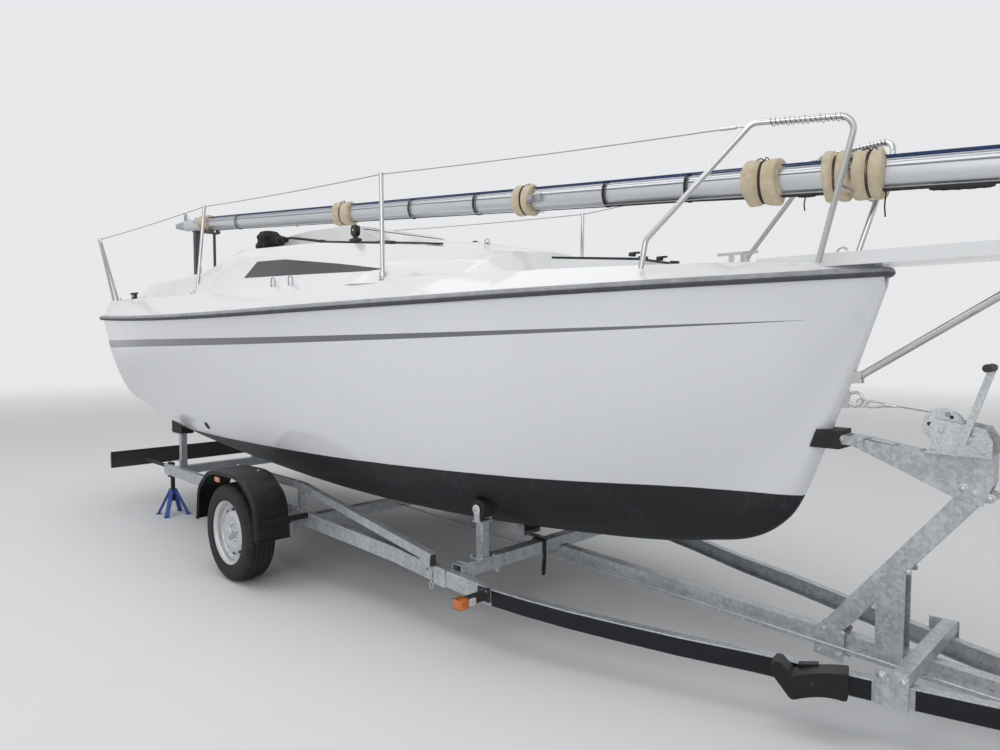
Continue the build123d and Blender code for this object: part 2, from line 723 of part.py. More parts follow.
def build_mast():
    """Hollow mast extrusion lying over the boat."""
    plane = mast_plane(MAST_HEAD_X)
    outer = plane * Ellipse(MAST_WIDTH / 2, MAST_DEPTH / 2)
    inner = plane * Ellipse(MAST_WIDTH / 2 - MAST_WALL, MAST_DEPTH / 2 - MAST_WALL)
    length = mast_length(MAST_HEAD_X, MAST_FOOT_X)
    tube = extrude(outer, length) - extrude(inner, length)
    return tube


def build_mast_head():
    """Masthead casting with sheave cheeks and a small upright bracket."""
    plane = mast_plane(MAST_HEAD_X - 4.0)
    cap = extrude(plane * Ellipse(MAST_WIDTH / 2, MAST_DEPTH / 2), 4.0)
    back = Plane(origin=plane.origin, x_dir=(0, 1, 0), z_dir=plane.z_dir)
    faces = [back * Ellipse(36.0, 55.0), mast_plane(MAST_HEAD_X - 250.0) * Ellipse(24.0, 30.0)]
    nose = loft(faces)
    bracket = block(-7120.0, -7100.0, -12.0, 12.0, mast_z(-7110.0) + 40.0, mast_z(-7110.0) + 130.0)
    return cap + nose + bracket


def build_mast_foot():
    """Foot casting with a hinge tang."""
    plane = mast_plane(MAST_FOOT_X)
    cap = extrude(plane * Ellipse(MAST_WIDTH / 2 + 3, MAST_DEPTH / 2 + 3), 14.0)
    x = MAST_FOOT_X
    tang = block(x + 10.0, x + 90.0, -9.0, 9.0, mast_z(x) - 40.0, mast_z(x) + 40.0)
    return cap + tang


def build_spreader_brackets(mast):
    """Spreader roots either side of the mast."""
    x = -1925.0
    root = block(x - 60.0, x + 60.0, 30.0, 60.0, mast_z(x) - 22.0, mast_z(x) + 22.0)
    root += block(x - 22.0, x + 22.0, 55.0, 95.0, mast_z(x) - 14.0, mast_z(x) + 14.0)
    full = extrude(mast_plane(-3000.0) * Ellipse(MAST_WIDTH / 2, MAST_DEPTH / 2), 2000.0)
    root -= full
    return both(root)


def pad_at(x, wide, high, long):
    """A block of foam wrapped round the mast, as a ring."""
    plane = mast_plane(x - long / 2)
    ring = extrude(plane * Ellipse(wide, high), long)
    core = extrude(mast_plane(x - long) * Ellipse(MAST_WIDTH / 2, MAST_DEPTH / 2), long * 2.2)
    return ring - core


def build_pads(blockers):
    """Foam pads that cushion the lowered mast."""
    rows = [
        {"x": -6560.0, "wide": 75.0, "high": 95.0, "long": 190.0},
        {"x": -3985.0, "wide": 70.0, "high": 95.0, "long": 150.0},
        {"x": -2035.0, "wide": 68.0, "high": 95.0, "long": 60.0},
        {"x": -525.0, "wide": 75.0, "high": 110.0, "long": 170.0},
        {"x": -195.0, "wide": 78.0, "high": 112.0, "long": 110.0},
        {"x": -70.0, "wide": 78.0, "high": 108.0, "long": 120.0},
    ]
    pads = []
    for row in rows:
        pad = pad_at(row["x"], row["wide"], row["high"], row["long"])
        for other in blockers:
            pad -= other
        solids = sorted(pad.solids(), key=lambda part: part.volume)
        pads.append(solids[-1])
    return group(pads)


def build_crutch():
    """Mast crutch behind the transom: a square post, a saddle and a bent brace tube."""
    top = mast_z(-6500.0) - 98.0
    post = block(-6505.0, -6450.0, -170.0, -115.0, 1500.0, top)
    saddle = block(-6525.0, -6440.0, -172.0, 86.0, top, top + 12.0)
    saddle += block(-6525.0, -6440.0, 74.0, 86.0, top, top + 60.0)
    saddle += block(-6525.0, -6440.0, -90.0, -78.0, top, top + 60.0)
    brace = rod((-6480.0, 40.0, 1500.0), (-6480.0, 40.0, top), 14.0)
    mount = block(-6505.0, -6440.0, -180.0, 70.0, 1560.0, 1572.0)
    mount += block(-6505.0, -6440.0, -180.0, 70.0, 1840.0, 1852.0) & block(-6505, -6441, -200, 200, 1800, 1900)
    return post + saddle + brace + mount


def build_bag(deck):
    """Rope bag standing on the roof with its tied neck."""
    shape = upright(80.0, -4270.0, -505.0, 2200.0, 2375.0)
    neck = rod((-4270.0, -505.0, 2345.0), (-4120.0, -500.0, 2345.0), 26.0)
    return drop_foot(shape + neck, deck)


# trailer frame
def rail_outline():
    """Plan outline of one side rail, inner edge then outer edge."""
    half = RAIL_WIDTH / 2
    outer = [(row["x"], row["y"] + half) for row in RAIL_POINTS]
    inner = [(row["x"], row["y"] - half) for row in reversed(RAIL_POINTS)]
    return outer + inner


def rail_side(extra_top, extra_low):
    """Side outline of the rail."""
    top = [(row["x"], row["top"] + extra_top) for row in RAIL_POINTS]
    low = [(row["x"], row["top"] - RAIL_HEIGHT + extra_low) for row in reversed(RAIL_POINTS)]
    return top + low


def build_rail():
    """One side rail, open to the inside as a channel."""
    plan = top_plate(rail_outline(), 0.0, 700.0)
    side = side_plate(rail_side(0.0, 0.0), 0.0, 1100.0)
    rail = plan & side
    inner_rows = [(row["x"], row["y"] + RAIL_WIDTH / 2 - RAIL_WALL) for row in RAIL_POINTS]
    back = [(row["x"], row["y"] - RAIL_WIDTH) for row in reversed(RAIL_POINTS)]
    hollow = top_plate(inner_rows + back, 0.0, 700.0) & side_plate(rail_side(-RAIL_WALL, RAIL_WALL), 0.0, 1100.0)
    return rail - hollow


def beam_top(x):
    """Top height of the centre beam over x."""
    share = (x - BEAM_X[0]) / (BEAM_X[1] - BEAM_X[0])
    return BEAM_TOP_START + share * (BEAM_TOP_END - BEAM_TOP_START)


def build_centre_beam():
    """Hollow centre beam."""
    points = [
        (BEAM_X[0], beam_top(BEAM_X[0])),
        (BEAM_X[1], beam_top(BEAM_X[1])),
        (BEAM_X[1], beam_top(BEAM_X[1]) - BEAM_HEIGHT),
        (BEAM_X[0], beam_top(BEAM_X[0]) - BEAM_HEIGHT),
    ]
    inner = [
        (BEAM_X[0], beam_top(BEAM_X[0]) - 5.0),
        (BEAM_X[1], beam_top(BEAM_X[1]) - 5.0),
        (BEAM_X[1], beam_top(BEAM_X[1]) - BEAM_HEIGHT + 5.0),
        (BEAM_X[0], beam_top(BEAM_X[0]) - BEAM_HEIGHT + 5.0),
    ]
    half = BEAM_WIDTH / 2
    return side_plate(points, -half, half) - side_plate(inner, -half + 5.0, half - 5.0)


def rail_value(x, key):
    """Rail value between its points."""
    for first, last in zip(RAIL_POINTS, RAIL_POINTS[1:]):
        if first["x"] <= x <= last["x"]:
            share = (x - first["x"]) / (last["x"] - first["x"])
            return first[key] + share * (last[key] - first[key])
    return RAIL_POINTS[-1][key]


def build_front_crossmember(rails, beam):
    """Front crossmember between the rails over the centre beam's end."""
    reach = rail_value(CROSS_X, "y") - RAIL_WIDTH / 2
    top = CROSS_TOP
    half = CROSS_SIZE / 2
    member = block(CROSS_X - half, CROSS_X + half, -reach - 10, reach + 10, top - CROSS_SIZE, top)
    member -= block(CROSS_X - half + 5, CROSS_X + half - 5, -reach - 20, reach + 20, top - CROSS_SIZE + 5, top - 5)
    member -= rails
    member -= block(-2100, -1500, -BEAM_WIDTH / 2, BEAM_WIDTH / 2, 200, beam_top(CROSS_X) + 2)
    solids = sorted(member.solids(), key=lambda part: part.volume)
    return solids[-1] if len(solids) == 1 else group(solids)


def build_rear_crossmember(rails):
    """Rear crossmember between the rails."""
    reach = rail_value(REAR_CROSS_X, "y") - RAIL_WIDTH / 2
    top = rail_value(REAR_CROSS_X, "top") - 12.0
    member = block(REAR_CROSS_X - 35, REAR_CROSS_X + 35, -reach - 10, reach + 10, top - 70, top)
    member -= block(REAR_CROSS_X - 30, REAR_CROSS_X + 30, -reach - 20, reach + 20, top - 65, top - 5)
    member -= rails
    return member


def build_nose_crossmember(rails, beam):
    """Nose crossmember on top of the rails with clamp plates outside them."""
    low = rail_value(NOSE_CROSS_X, "top")
    top = low + NOSE_CROSS_HEIGHT
    reach = rail_value(NOSE_CROSS_X - 36, "y") + RAIL_WIDTH / 2 + 1.0
    member = block(NOSE_CROSS_X + 20, NOSE_CROSS_X + 76, -reach, reach, low, top)
    plate = block(NOSE_CROSS_X - 36, NOSE_CROSS_X + 82, reach, reach + 8, top - 136, top - 4)
    return member + plate + mirrored(plate) - rails - beam


def build_axle(rails):
    """Square axle tube under the rails with its clamp brackets."""
    z = rail_value(TUBE_X, "top") - RAIL_HEIGHT
    half = AXLE_TUBE / 2
    tube = block(TUBE_X - half, TUBE_X + half, -ARM_Y[0], ARM_Y[0], z - AXLE_TUBE, z)
    tube -= block(TUBE_X - half + 5, TUBE_X + half - 5, -ARM_Y[0], ARM_Y[0], z - AXLE_TUBE + 5, z - 5)
    return tube - rails


def build_axle_clamps(rail):
    """Clamp brackets that hold the port rail on the axle tube."""
    z = rail_value(TUBE_X, "top") - RAIL_HEIGHT
    y = rail_value(TUBE_X, "y") + RAIL_WIDTH / 2
    plate = side_plate([(TUBE_X - 95, z - 10), (TUBE_X + 95, z - 10), (TUBE_X + 80, z + 75), (TUBE_X - 80, z + 75)],
                       y, y + 8)
    foot = block(TUBE_X - 95, TUBE_X - 36, y, y + 40, z - 18, z - 10)
    foot += block(TUBE_X + 36, TUBE_X + 95, y, y + 40, z - 18, z - 10)
    shape = plate + foot - rail
    shape -= block(TUBE_X - 36, TUBE_X + 36, y - 200, y + 200, z - 80, z)
    return shape


def wheel_y():
    """Middle plane of the port wheel."""
    return TYRE_OUTER_Y - TYRE_WIDTH / 2


def turned(profile, x, z):
    """A body of revolution about the Y axis through x, z; profile is (radius, y) pairs."""
    outline = make_face(Polyline(*[(x + radius, y, z) for radius, y in profile], close=True))
    return revolve(outline, axis=Axis((x, 0, z), (0, 1, 0)))


def build_tyre():
    """Port tyre."""
    middle = wheel_y()
    half = TYRE_WIDTH / 2
    profile = [
        (RIM_RADIUS, middle - half + 22),
        (RIM_RADIUS + 14, middle - half + 12.5),
        (RIM_RADIUS + 16, middle - half + 6),
        (RIM_RADIUS + 26, middle - half + 2),
        (RIM_RADIUS + 70, middle - half),
        (TYRE_RADIUS - 20, middle - half + 6),
        (TYRE_RADIUS - 4, middle - half + 26),
        (TYRE_RADIUS, middle - 30),
        (TYRE_RADIUS, middle + 30),
        (TYRE_RADIUS - 4, middle + half - 26),
        (TYRE_RADIUS - 20, middle + half - 6),
        (RIM_RADIUS + 70, middle + half),
        (RIM_RADIUS + 26, middle + half - 2),
        (RIM_RADIUS + 16, middle + half - 6),
        (RIM_RADIUS + 14, middle + half - 12.5),
        (RIM_RADIUS, middle + half - 22),
    ]
    return turned(profile, AXLE_X, TYRE_RADIUS)


def build_rim():
    """Port steel rim with its dished disc and hub cap."""
    middle = wheel_y()
    half = TYRE_WIDTH / 2
    profile = [
        (RIM_RADIUS + 12, middle - half + 9),
        (RIM_RADIUS + 12, middle - half + 13),
        (RIM_RADIUS, middle - half + 22),
        (RIM_RADIUS, middle - 34),
        (RIM_RADIUS - 22, middle - 22),
        (RIM_RADIUS - 22, middle + 22),
        (RIM_RADIUS, middle + 34),
        (RIM_RADIUS, middle + half - 22),
        (RIM_RADIUS + 12, middle + half - 13),
        (RIM_RADIUS + 12, middle + half - 9),
        (RIM_RADIUS - 6, middle + half - 22),
        (RIM_RADIUS - 8, middle + 38),
        (RIM_RADIUS - 30, middle + 26),
        (128.0, middle + 54),
        (98.0, middle + 62),
        (66.0, middle + 50),
        (38.0, middle + 52),
        (34.0, middle + 80),
        (0.0, middle + 82),
        (0.0, middle + 44),
        (98.0, middle + 44),
        (128.0, middle + 36),
        (RIM_RADIUS - 31, middle + 8),
        (RIM_RADIUS - 31, middle - 24),
        (RIM_RADIUS - 8, middle - 38),
        (RIM_RADIUS - 8, middle - half + 24),
    ]
    return turned(profile, AXLE_X, TYRE_RADIUS)


def build_drum(rim):
    """Port brake drum with its hub against the rim's disc."""
    middle = wheel_y()
    drum = across(115.0, AXLE_X, TYRE_RADIUS, middle - 62, middle + 24)
    drum += across(70.0, AXLE_X, TYRE_RADIUS, middle + 20, middle + 46)
    drum -= across(104.0, AXLE_X, TYRE_RADIUS, middle - 70, middle - 20)
    drum -= across(30.0, AXLE_X, TYRE_RADIUS, middle - 70, middle - 12)
    drum -= across(22.0 + SHAFT_GAP, AXLE_X, TYRE_RADIUS, middle - 20, middle + 8)
    drum -= rim
    solids = sorted(drum.solids(), key=lambda part: part.volume)
    return solids[-1]


def build_arm():
    """Port trailing arm from the axle tube to the brake back plate with its spindle."""
    low = rail_value(TUBE_X, "top") - RAIL_HEIGHT - AXLE_TUBE
    arm = side_plate([(AXLE_X - 45, 268), (TUBE_X + 45, low - 6), (TUBE_X + 45, low + AXLE_TUBE + 4), (AXLE_X - 45, 352)],
                     ARM_Y[0], ARM_Y[1])
    plate = across(118.0, AXLE_X, TYRE_RADIUS, ARM_Y[1], ARM_Y[1] + 10)
    spindle = across(22.0, AXLE_X, TYRE_RADIUS, ARM_Y[1], wheel_y() + 2)
    return arm + plate + spindle


def mudguard_line(gap):
    """Side outline of the mudguard, gap inside its outer face."""
    return [(-3860 + gap, 330), (-3830 + gap, 560 - gap * 0.4), (-3650 + gap * 0.5, 700 - gap),
            (-3230 - gap * 0.5, 710 - gap), (-3030 - gap, 570 - gap * 0.4), (-3000 - gap, 330)]


def build_mudguard():
    """Port mudguard, angular, open below and inside."""
    middle = wheel_y()
    shell = side_plate(mudguard_line(0), middle - 112, middle + GUARD_OUT)
    shell -= side_plate(mudguard_line(GUARD_SKIN), middle - 120, middle + GUARD_OUT - GUARD_SKIN)
    shell -= side_plate(mudguard_line(32), middle, middle + GUARD_OUT + 10)
    shell -= block(-3900, -2950, middle - 150, middle + 150, 300, 331)
    solids = sorted(shell.solids(), key=lambda part: part.volume)
    return solids[-1]


def build_guard_stays():
    """Port mudguard brackets from the rail."""
    inside = rail_value(AXLE_X, "y") + RAIL_WIDTH / 2
    middle = wheel_y()
    body = side_plate(mudguard_line(0), middle - 112, middle + GUARD_OUT)
    parts = []
    for x0, x1 in ((-3020, -2990), (-3872, -3840)):
        stay = block(x0, x1, inside - 12, middle + 70, 425, 455)
        stay -= body
        stay -= top_plate(rail_outline(), 0.0, 700.0)
        solids = sorted(stay.solids(), key=lambda part: part.volume)
        parts.append(solids[-1])
    return parts


def build_diagonal(rail):
    """Stiffening bar over the axle on the port rail with its two posts."""
    y0 = rail_value(-3100.0, "y") - 32
    shape = side_plate([(-1870, 352), (-1960, 392), (-3150, 574), (-3820, 578), (-3820, 622), (-3140, 618),
                        (-1858, 428)], y0 - 20, y0 + 20)
    for x in (-3165.0, -3780.0):
        shape += block(x - 20, x + 20, y0 - 18, y0 + 18, 440, 586)
    shape -= top_plate(rail_outline(), 0.0, 700.0) & side_plate(rail_side(0.0, 0.0), 0.0, 1100.0)
    solids = sorted(shape.solids(), key=lambda part: part.volume)
    return solids[-1]


# supports
def build_front_post(hull):
    """Port post of the front side roller with its fork."""
    z0 = CROSS_TOP
    y = ROLLER_Y
    post = block(CROSS_X - 25, CROSS_X + 25, y - 25, y + 25, z0, ROLLER_Z - ROLLER_R - 18)
    post += block(CROSS_X - 32, CROSS_X + 32, y - 46, y + 46, ROLLER_Z - ROLLER_R - 18, ROLLER_Z - ROLLER_R - 10)
    for side in (-1, 1):
        inner = y + side * 38
        outer = y + side * 46
        post += block(CROSS_X - 20, CROSS_X + 20, inner, outer, ROLLER_Z - ROLLER_R - 18, ROLLER_Z + 16)
    return post - hull


def build_side_roller(outer):
    """Port side roller, pressed by the hull it carries."""
    roller = across(ROLLER_R, CROSS_X, ROLLER_Z, ROLLER_Y - 38, ROLLER_Y + 38)
    roller -= outer
    solids = sorted(roller.solids(), key=lambda part: part.volume)
    return solids[-1]


def build_keel_brackets():
    """Brackets of the two keel rollers."""
    shapes = []
    for x, base, height in keel_places():
        for side in (-1, 1):
            shapes.append(block(x - 28, x + 28, side * 70, side * 78, base, height + 14))
        shapes.append(block(x - 28, x + 28, -78, 78, base, base + 8))
    front = shapes[0] + shapes[1] + shapes[2]
    rear = shapes[3] + shapes[4] + shapes[5]
    return group([front, rear])


def keel_places():
    """Place, base height and axis height of each keel roller."""
    rear_top = rail_value(REAR_CROSS_X, "top") - 12.0
    return [
        (KEEL_ROLLER_X, beam_top(KEEL_ROLLER_X - 28) + 1.0, KEEL_ROLLER_Z),
        (REAR_CROSS_X, rear_top, 588.0),
    ]


def build_keel_rollers(outer):
    """The two keel rollers, pressed by the keel."""
    rollers = []
    for x, base, height in keel_places():
        roller = across(KEEL_ROLLER_R, x, height, -70, 70)
        roller -= outer
        solids = sorted(roller.solids(), key=lambda part: part.volume)
        rollers.append(solids[-1])
    return group(rollers)


def build_rear_post():
    """Port rear post with a cap plate under the pad."""
    top = rail_value(REAR_CROSS_X, "top") - 12.0
    post = block(REAR_CROSS_X - 25, REAR_CROSS_X + 25, 695, 745, top, PAD_BASE_Z - 8)
    return post + block(REAR_CROSS_X - 80, REAR_CROSS_X + 80, 660, 780, PAD_BASE_Z - 8, PAD_BASE_Z)


def build_rear_pad(outer):
    """Port pad cut to the hull."""
    pad = block(REAR_CROSS_X - 105, REAR_CROSS_X + 105, 665, 775, PAD_BASE_Z, 980)
    pad -= outer
    solids = sorted(pad.solids(), key=lambda part: part.bounding_box().min.Z)
    return solids[0]


# winch
def build_winch_strut(beam):
    """Diagonal strut from the gusset on the beam to the winch arm."""
    return bar(STRUT_FOOT, STRUT_HEAD, STRUT_SIZE, STRUT_SIZE) - beam


def build_gusset(strut):
    """Gusset plates either side of the beam that hold the strut's foot."""
    half = STRUT_SIZE / 2
    plate = side_plate([(-246, 144), (-122, 130), (-120, 256), (-200, 300), (-246, 262)], half, half + 6)
    spacer = block(-240, -128, BEAM_WIDTH / 2, half, 180, 240)
    port = plate + spacer
    return both(port)


def build_winch_post(strut, beam):
    """Vertical post astride the beam, up to the strut, open at the front above the beam."""
    post = side_plate([(4, POST_LOW), (110, POST_LOW), (112, 760), (-8, 760)], -44, 44)
    post -= side_plate([(10, beam_top(4.0)), (120, beam_top(4.0)), (120, 770), (-2, 770)], -38, 38)
    post -= beam
    post -= block(-20, 130, -BEAM_WIDTH / 2, BEAM_WIDTH / 2, 100, beam_top(112.0))
    above = side_plate([(-300, 111), (400, 1018), (400, 1500), (-300, 1500)], -200, 200)
    post -= strut
    post -= above
    solids = sorted(post.solids(), key=lambda part: part.volume)
    return solids[-1]


def build_winch_arm(strut, stop):
    """Folded winch arm, open below, with the plates that hold the bow stop."""
    outline = [(-112, 1124), (150, 1084), (400, 1084), (400, 985), (368, 893), (270, 918), (-112, 1082)]
    arm = side_plate(outline, -46, 46)
    arm -= side_plate([(-130, 1119), (150, 1079), (395, 1079), (395, 800), (-130, 800)], -40, 40)
    arm -= strut
    solids = sorted(arm.solids(), key=lambda part: part.volume)
    return solids[-1] + build_stop_plates(stop)


def build_bow_stop(outer):
    """Rubber bow stop with cheeks either side of the stem."""
    stop = block(-320, -150, -72, 72, 1062, 1142)
    stop -= outer
    solids = sorted(stop.solids(), key=lambda part: part.bounding_box().max.X)
    return solids[-1]


def build_stop_plates(stop):
    """Plates that carry the bow stop on the winch arm."""
    plate = side_plate([(-230, 1082), (-60, 1082), (-60, 1116), (-230, 1130)], 46, 52)
    web = block(-150, -142, -52, 52, 1082, 1122)
    frame = plate + mirrored(plate) + web
    frame -= stop
    solids = sorted(frame.solids(), key=lambda part: part.volume)
    return solids[-1]


def build_winch_frame():
    """Winch frame: base and two side plates with bearing holes."""
    base = block(175, 398, -74, 74, 1084, 1090)
    side = side_plate([(190, 1084), (398, 1084), (398, 1150), (372, 1196), (210, 1222), (190, 1200)], 68, 74)
    frame = base + side + mirrored(side)
    frame -= across(9.0 + SHAFT_GAP, DRUM_AXIS[0], DRUM_AXIS[1], -90, 90)
    frame -= across(10.0 + SHAFT_GAP, CRANK_AXIS[0], CRANK_AXIS[1], -90, 90)
    return frame


def gear_outline(teeth, centre, tooth_at):
    """Points of a gear in x, z; one tooth points at the angle tooth_at."""
    pitch = GEAR_MODULE * teeth / 2
    root = pitch - GEAR_MODULE
    tip = pitch + GEAR_MODULE * 0.8
    points = []
    for index in range(teeth):
        for share, radius in ((-0.25, root), (-0.13, tip), (0.13, tip), (0.25, root)):
            angle = 2 * math.pi * (index + share) / teeth + tooth_at
            points.append((centre[0] + radius * math.cos(angle), centre[1] + radius * math.sin(angle)))
    return points


def build_winch_drum():
    """Rope drum with its large gear."""
    x, z = DRUM_AXIS
    gear = side_plate(gear_outline(GEAR_TEETH, DRUM_AXIS, GEAR_TURN), -60, -52)
    for index in range(5):
        angle = 2 * math.pi * index / 5
        gear -= across(11.0, x + 50 * math.cos(angle), z + 50 * math.sin(angle), -70, -40)
    drum = gear + across(27.0, x, z, -52, 60) + across(52.0, x, z, 52, 58)
    drum += across(9.0, x, z, -82, 82)
    return drum


def build_winch_crank():
    """Crank shaft with pinion, flat arm and grip."""
    x, z = CRANK_AXIS
    half_tooth = math.pi / PINION_TEETH
    pinion = side_plate(gear_outline(PINION_TEETH, CRANK_AXIS, GEAR_TURN + math.pi + half_tooth), -60, -52)
    shaft = across(10.0, x, z, -96, 82) + pinion
    arm = bar((x - 8, -92, z - 30), (x + 88, -92, z + 275), 8, 26)
    grip = across(15.0, x + 84, z + 262, -200, -92)
    return shaft + arm + grip


# lights and small trailer parts
def build_boards():
    """The light board as a shallow tray with its two carrying tubes."""
    tray = block(-6310, -6292, -BOARD_HALF, BOARD_HALF, 335, 485)
    tray -= block(-6304, -6280, -BOARD_HALF + 8, BOARD_HALF - 8, 343, 477)
    arm = block(-6304, -5525, 764, 770, 372, 406) + block(-5640, -5560, 764, 800, 372, 440)
    arm -= top_plate(rail_outline(), 0.0, 700.0) & side_plate(rail_side(0.0, 0.0), 0.0, 1100.0)
    return tray + arm + mirrored(arm)


def build_rear_lamps():
    """Lamp boxes on the back of the light board with the number plate blank between."""
    lamp = block(-6345, -6310, BOARD_HALF - 250, BOARD_HALF - 10, 350, 470)
    blank = block(-6314, -6310, -260, 260, 352, 468)
    return group([lamp, mirrored(lamp), blank])


def build_side_markers():
    """Amber and white marker lamps on their brackets outside the rails."""
    x = -1545.0
    y = rail_value(x, "y") + RAIL_WIDTH / 2
    end = BOARD_HALF - MARKER_INSET
    bracket = block(x - 30, x + 50, y - 12, y + 6, 250, 318)
    bracket += block(x + 20, x + 28, y, end, 258, 312)
    bracket -= top_plate(rail_outline(), 0.0, 700.0) & side_plate(rail_side(0.0, 0.0), 0.0, 1100.0)
    lamps = block(x + 28, x + 52, end - 102, end - 50, 262, 306) + block(x - 4, x + 52, end - 50, end, 260, 310)
    solids = sorted((bracket + lamps).solids(), key=lambda part: part.volume)
    return both(solids[-1])


def build_chock():
    """Wheel chock clipped on the starboard rail."""
    x = CHOCK_X
    y = -(rail_value(x, "y") + RAIL_WIDTH / 2)
    turn = math.degrees(math.atan2(rail_value(-600.0, "y") - rail_value(0.0, "y"), 600.0))
    at = Location((x, y, 0), (0, 0, turn))
    outline = [(-146, 262), (-10, 299), (128, 293), (128, 232), (84, 178), (-50, 143), (-120, 188)]
    wedge = side_plate(outline, -104, -14)
    clip = block(-60, 60, -14, 30, 200, 235)
    rail = top_plate(rail_outline(), 0.0, 700.0) & side_plate(rail_side(0.0, 0.0), 0.0, 1100.0)
    whole = at * (wedge + clip) - mirrored(rail)
    solids = sorted(whole.solids(), key=lambda part: part.bounding_box().min.Y)
    return solids[0]


def build_overrun():
    """Overrun housing on the nose with its bellows, sliding tube and jockey wheel clamp."""
    top = beam_top(1000.0) + 6.0
    housing = block(1010, 1330, -46, 46, top + 10, COUPLING_Z + 44)
    housing += block(990, 1120, -80, 80, top, top + 10)
    z = COUPLING_Z
    tube = rod((1330, 0, z), (1350, 0, z), 40.0)
    for index in range(4):
        x = 1350 + index * 18
        tube += rod((x, 0, z), (x + 9, 0, z), 34.0)
        tube += rod((x + 9, 0, z), (x + 18, 0, z), 42.0)
    tube += rod((1340, 0, z), (1450, 0, z), 26.0)
    clamp = block(JOCKEY_X - 38, JOCKEY_X + 38, JOCKEY_Y - 38, -46, COUPLING_Z - 34, COUPLING_Z + 26)
    clamp -= upright(26.0, JOCKEY_X, JOCKEY_Y, 200, 400)
    clamp += rod((JOCKEY_X, JOCKEY_Y - 38, COUPLING_Z - 4), (JOCKEY_X, JOCKEY_Y - 86, COUPLING_Z - 4), 8.0)
    clamp += block(JOCKEY_X - 34, JOCKEY_X + 34, JOCKEY_Y - 98, JOCKEY_Y - 86, COUPLING_Z - 10, COUPLING_Z + 2)
    return housing + tube + clamp


def build_coupling():
    """Coupling head with its ball socket and latch handle."""
    z = COUPLING_Z
    body = block(1440, 1560, -34, 34, z - 24, z + 34)
    dome = Location((SOCKET_X, 0, z)) * Sphere(43.0)
    dome &= block(1480, 1700, -60, 60, z - 30, z + 40)
    head = body + dome + upright(34.0, SOCKET_X, 0, z - 30, z + 10)
    handle = side_plate([(1470, z + 34), (1500, z + 34), (1480, z + 78), (1380, z + 92), (1380, z + 80), (1455, z + 66)],
                        -15, 15)
    head += handle
    head -= Location((SOCKET_X, 0, z - 10)) * Sphere(25.5)
    head -= upright(25.5, SOCKET_X, 0, z - 60, z - 10)
    head -= rod((1400, 0, z), (1450, 0, z), 26.0)
    return head


def build_handbrake():
    """Handbrake lever on the housing's port side."""
    lever = side_plate([(1180, 262), (1215, 262), (1130, 420), (1040, 640), (1010, 640), (1100, 400)], 46, 58)
    lever += block(1000, 1045, 40, 64, 560, 650)
    return lever


def build_jockey_tube():
    """Outer tube of the jockey wheel with the crank on top."""
    x = JOCKEY_X
    y = JOCKEY_Y
    tube = upright(26.0, x, y, 232, 640) - upright(22.0, x, y, 262, 612)
    tube -= upright(18.0 + SHAFT_GAP, x, y, 200, 300)
    tube += upright(30.0, x, y, 640, 652) + upright(8.0, x, y, 652, 690)
    tube += rod((x, y, 684), (x - 150, y, 684), 7.0) + upright(11.0, x - 146, y, 684, 784)
    return tube


def build_jockey_inner():
    """Inner tube that slides in the outer tube."""
    x = JOCKEY_X
    y = JOCKEY_Y
    tube = upright(18.0, x, y, 224, 560) + upright(22.0 - SHAFT_GAP, x, y, 500, 560)
    return tube + upright(10.0, x, y, 206, 230)


def build_jockey_fork():
    """Fork that turns below the inner tube."""
    x = JOCKEY_X
    y = JOCKEY_Y
    crown = 208.0
    fork = upright(20.0, x, y, crown, 219.0) + block(x - 56, x + 20, y - 41, y + 41, crown, crown + 8)
    for side in (-1, 1):
        fork += side_plate([(x - 60, 82), (x - 22, 82), (x + 20, crown + 8), (x - 56, crown + 8)],
                           y + side * 35, y + side * 41)
    fork += across(13.0 - SHAFT_GAP, x - 40, JOCKEY_R, y - 44, y + 44)
    return fork - upright(10.0 + SHAFT_GAP, x, y, 200, 230)


def build_jockey_wheel():
    """Jockey wheel with rubber tyre shape and hub."""
    x = JOCKEY_X - 40
    y = JOCKEY_Y
    profile = [(13, -27), (30, -27), (34, -18), (66, -18), (72, -25), (90, -25), (JOCKEY_R, -14), (JOCKEY_R, 14),
               (90, 25), (72, 25), (66, 18), (34, 18), (30, 27), (13, 27)]
    outline = make_face(Polyline(*[(x + radius, y + side, JOCKEY_R) for radius, side in profile], close=True))
    return revolve(outline, axis=Axis((x, y, JOCKEY_R), (0, 1, 0)))


def build_jack_stand():
    """Base of the axle stand under the starboard rear rail with its ratchet post."""
    x = REAR_CROSS_X
    y = -(rail_value(x, "y") + 4)
    top = rail_value(x, "top") - RAIL_HEIGHT
    collar = block(x - 28, x + 28, y - 28, y + 28, 190, 225)
    legs = collar
    for side_x in (-1, 1):
        for side_y in (-1, 1):
            legs += bar((x + side_x * 20, y + side_y * 20, 205), (x + side_x * 92, y + side_y * 92, 6), 34, 14)
            legs += block(x + side_x * 92 - 22, x + side_x * 92 + 22, y + side_y * 92 - 22, y + side_y * 92 + 22, 0, 6)
    legs &= block(x - 130, x + 130, y - 130, y + 130, 0, 300)
    post = block(x - 14, x + 14, y - 14, y + 14, 120, top - 10)
    saddle = block(x - 40, x + 40, y - 30, y + 30, top - 10, top)
    for index in range(6):
        z = 228.0 + index * 13.0
        if z + 6 < top - 10:
            post += block(x + 13, x + 20, y - 12, y + 12, z, z + 6)
    legs -= block(x - 14, x + 14, y - 14, y + 14, 100, 400)
    rail = top_plate(rail_outline(), 0.0, 700.0) & side_plate(rail_side(0.0, 0.0), 0.0, 1100.0)
    return legs, post + saddle - mirrored(rail)


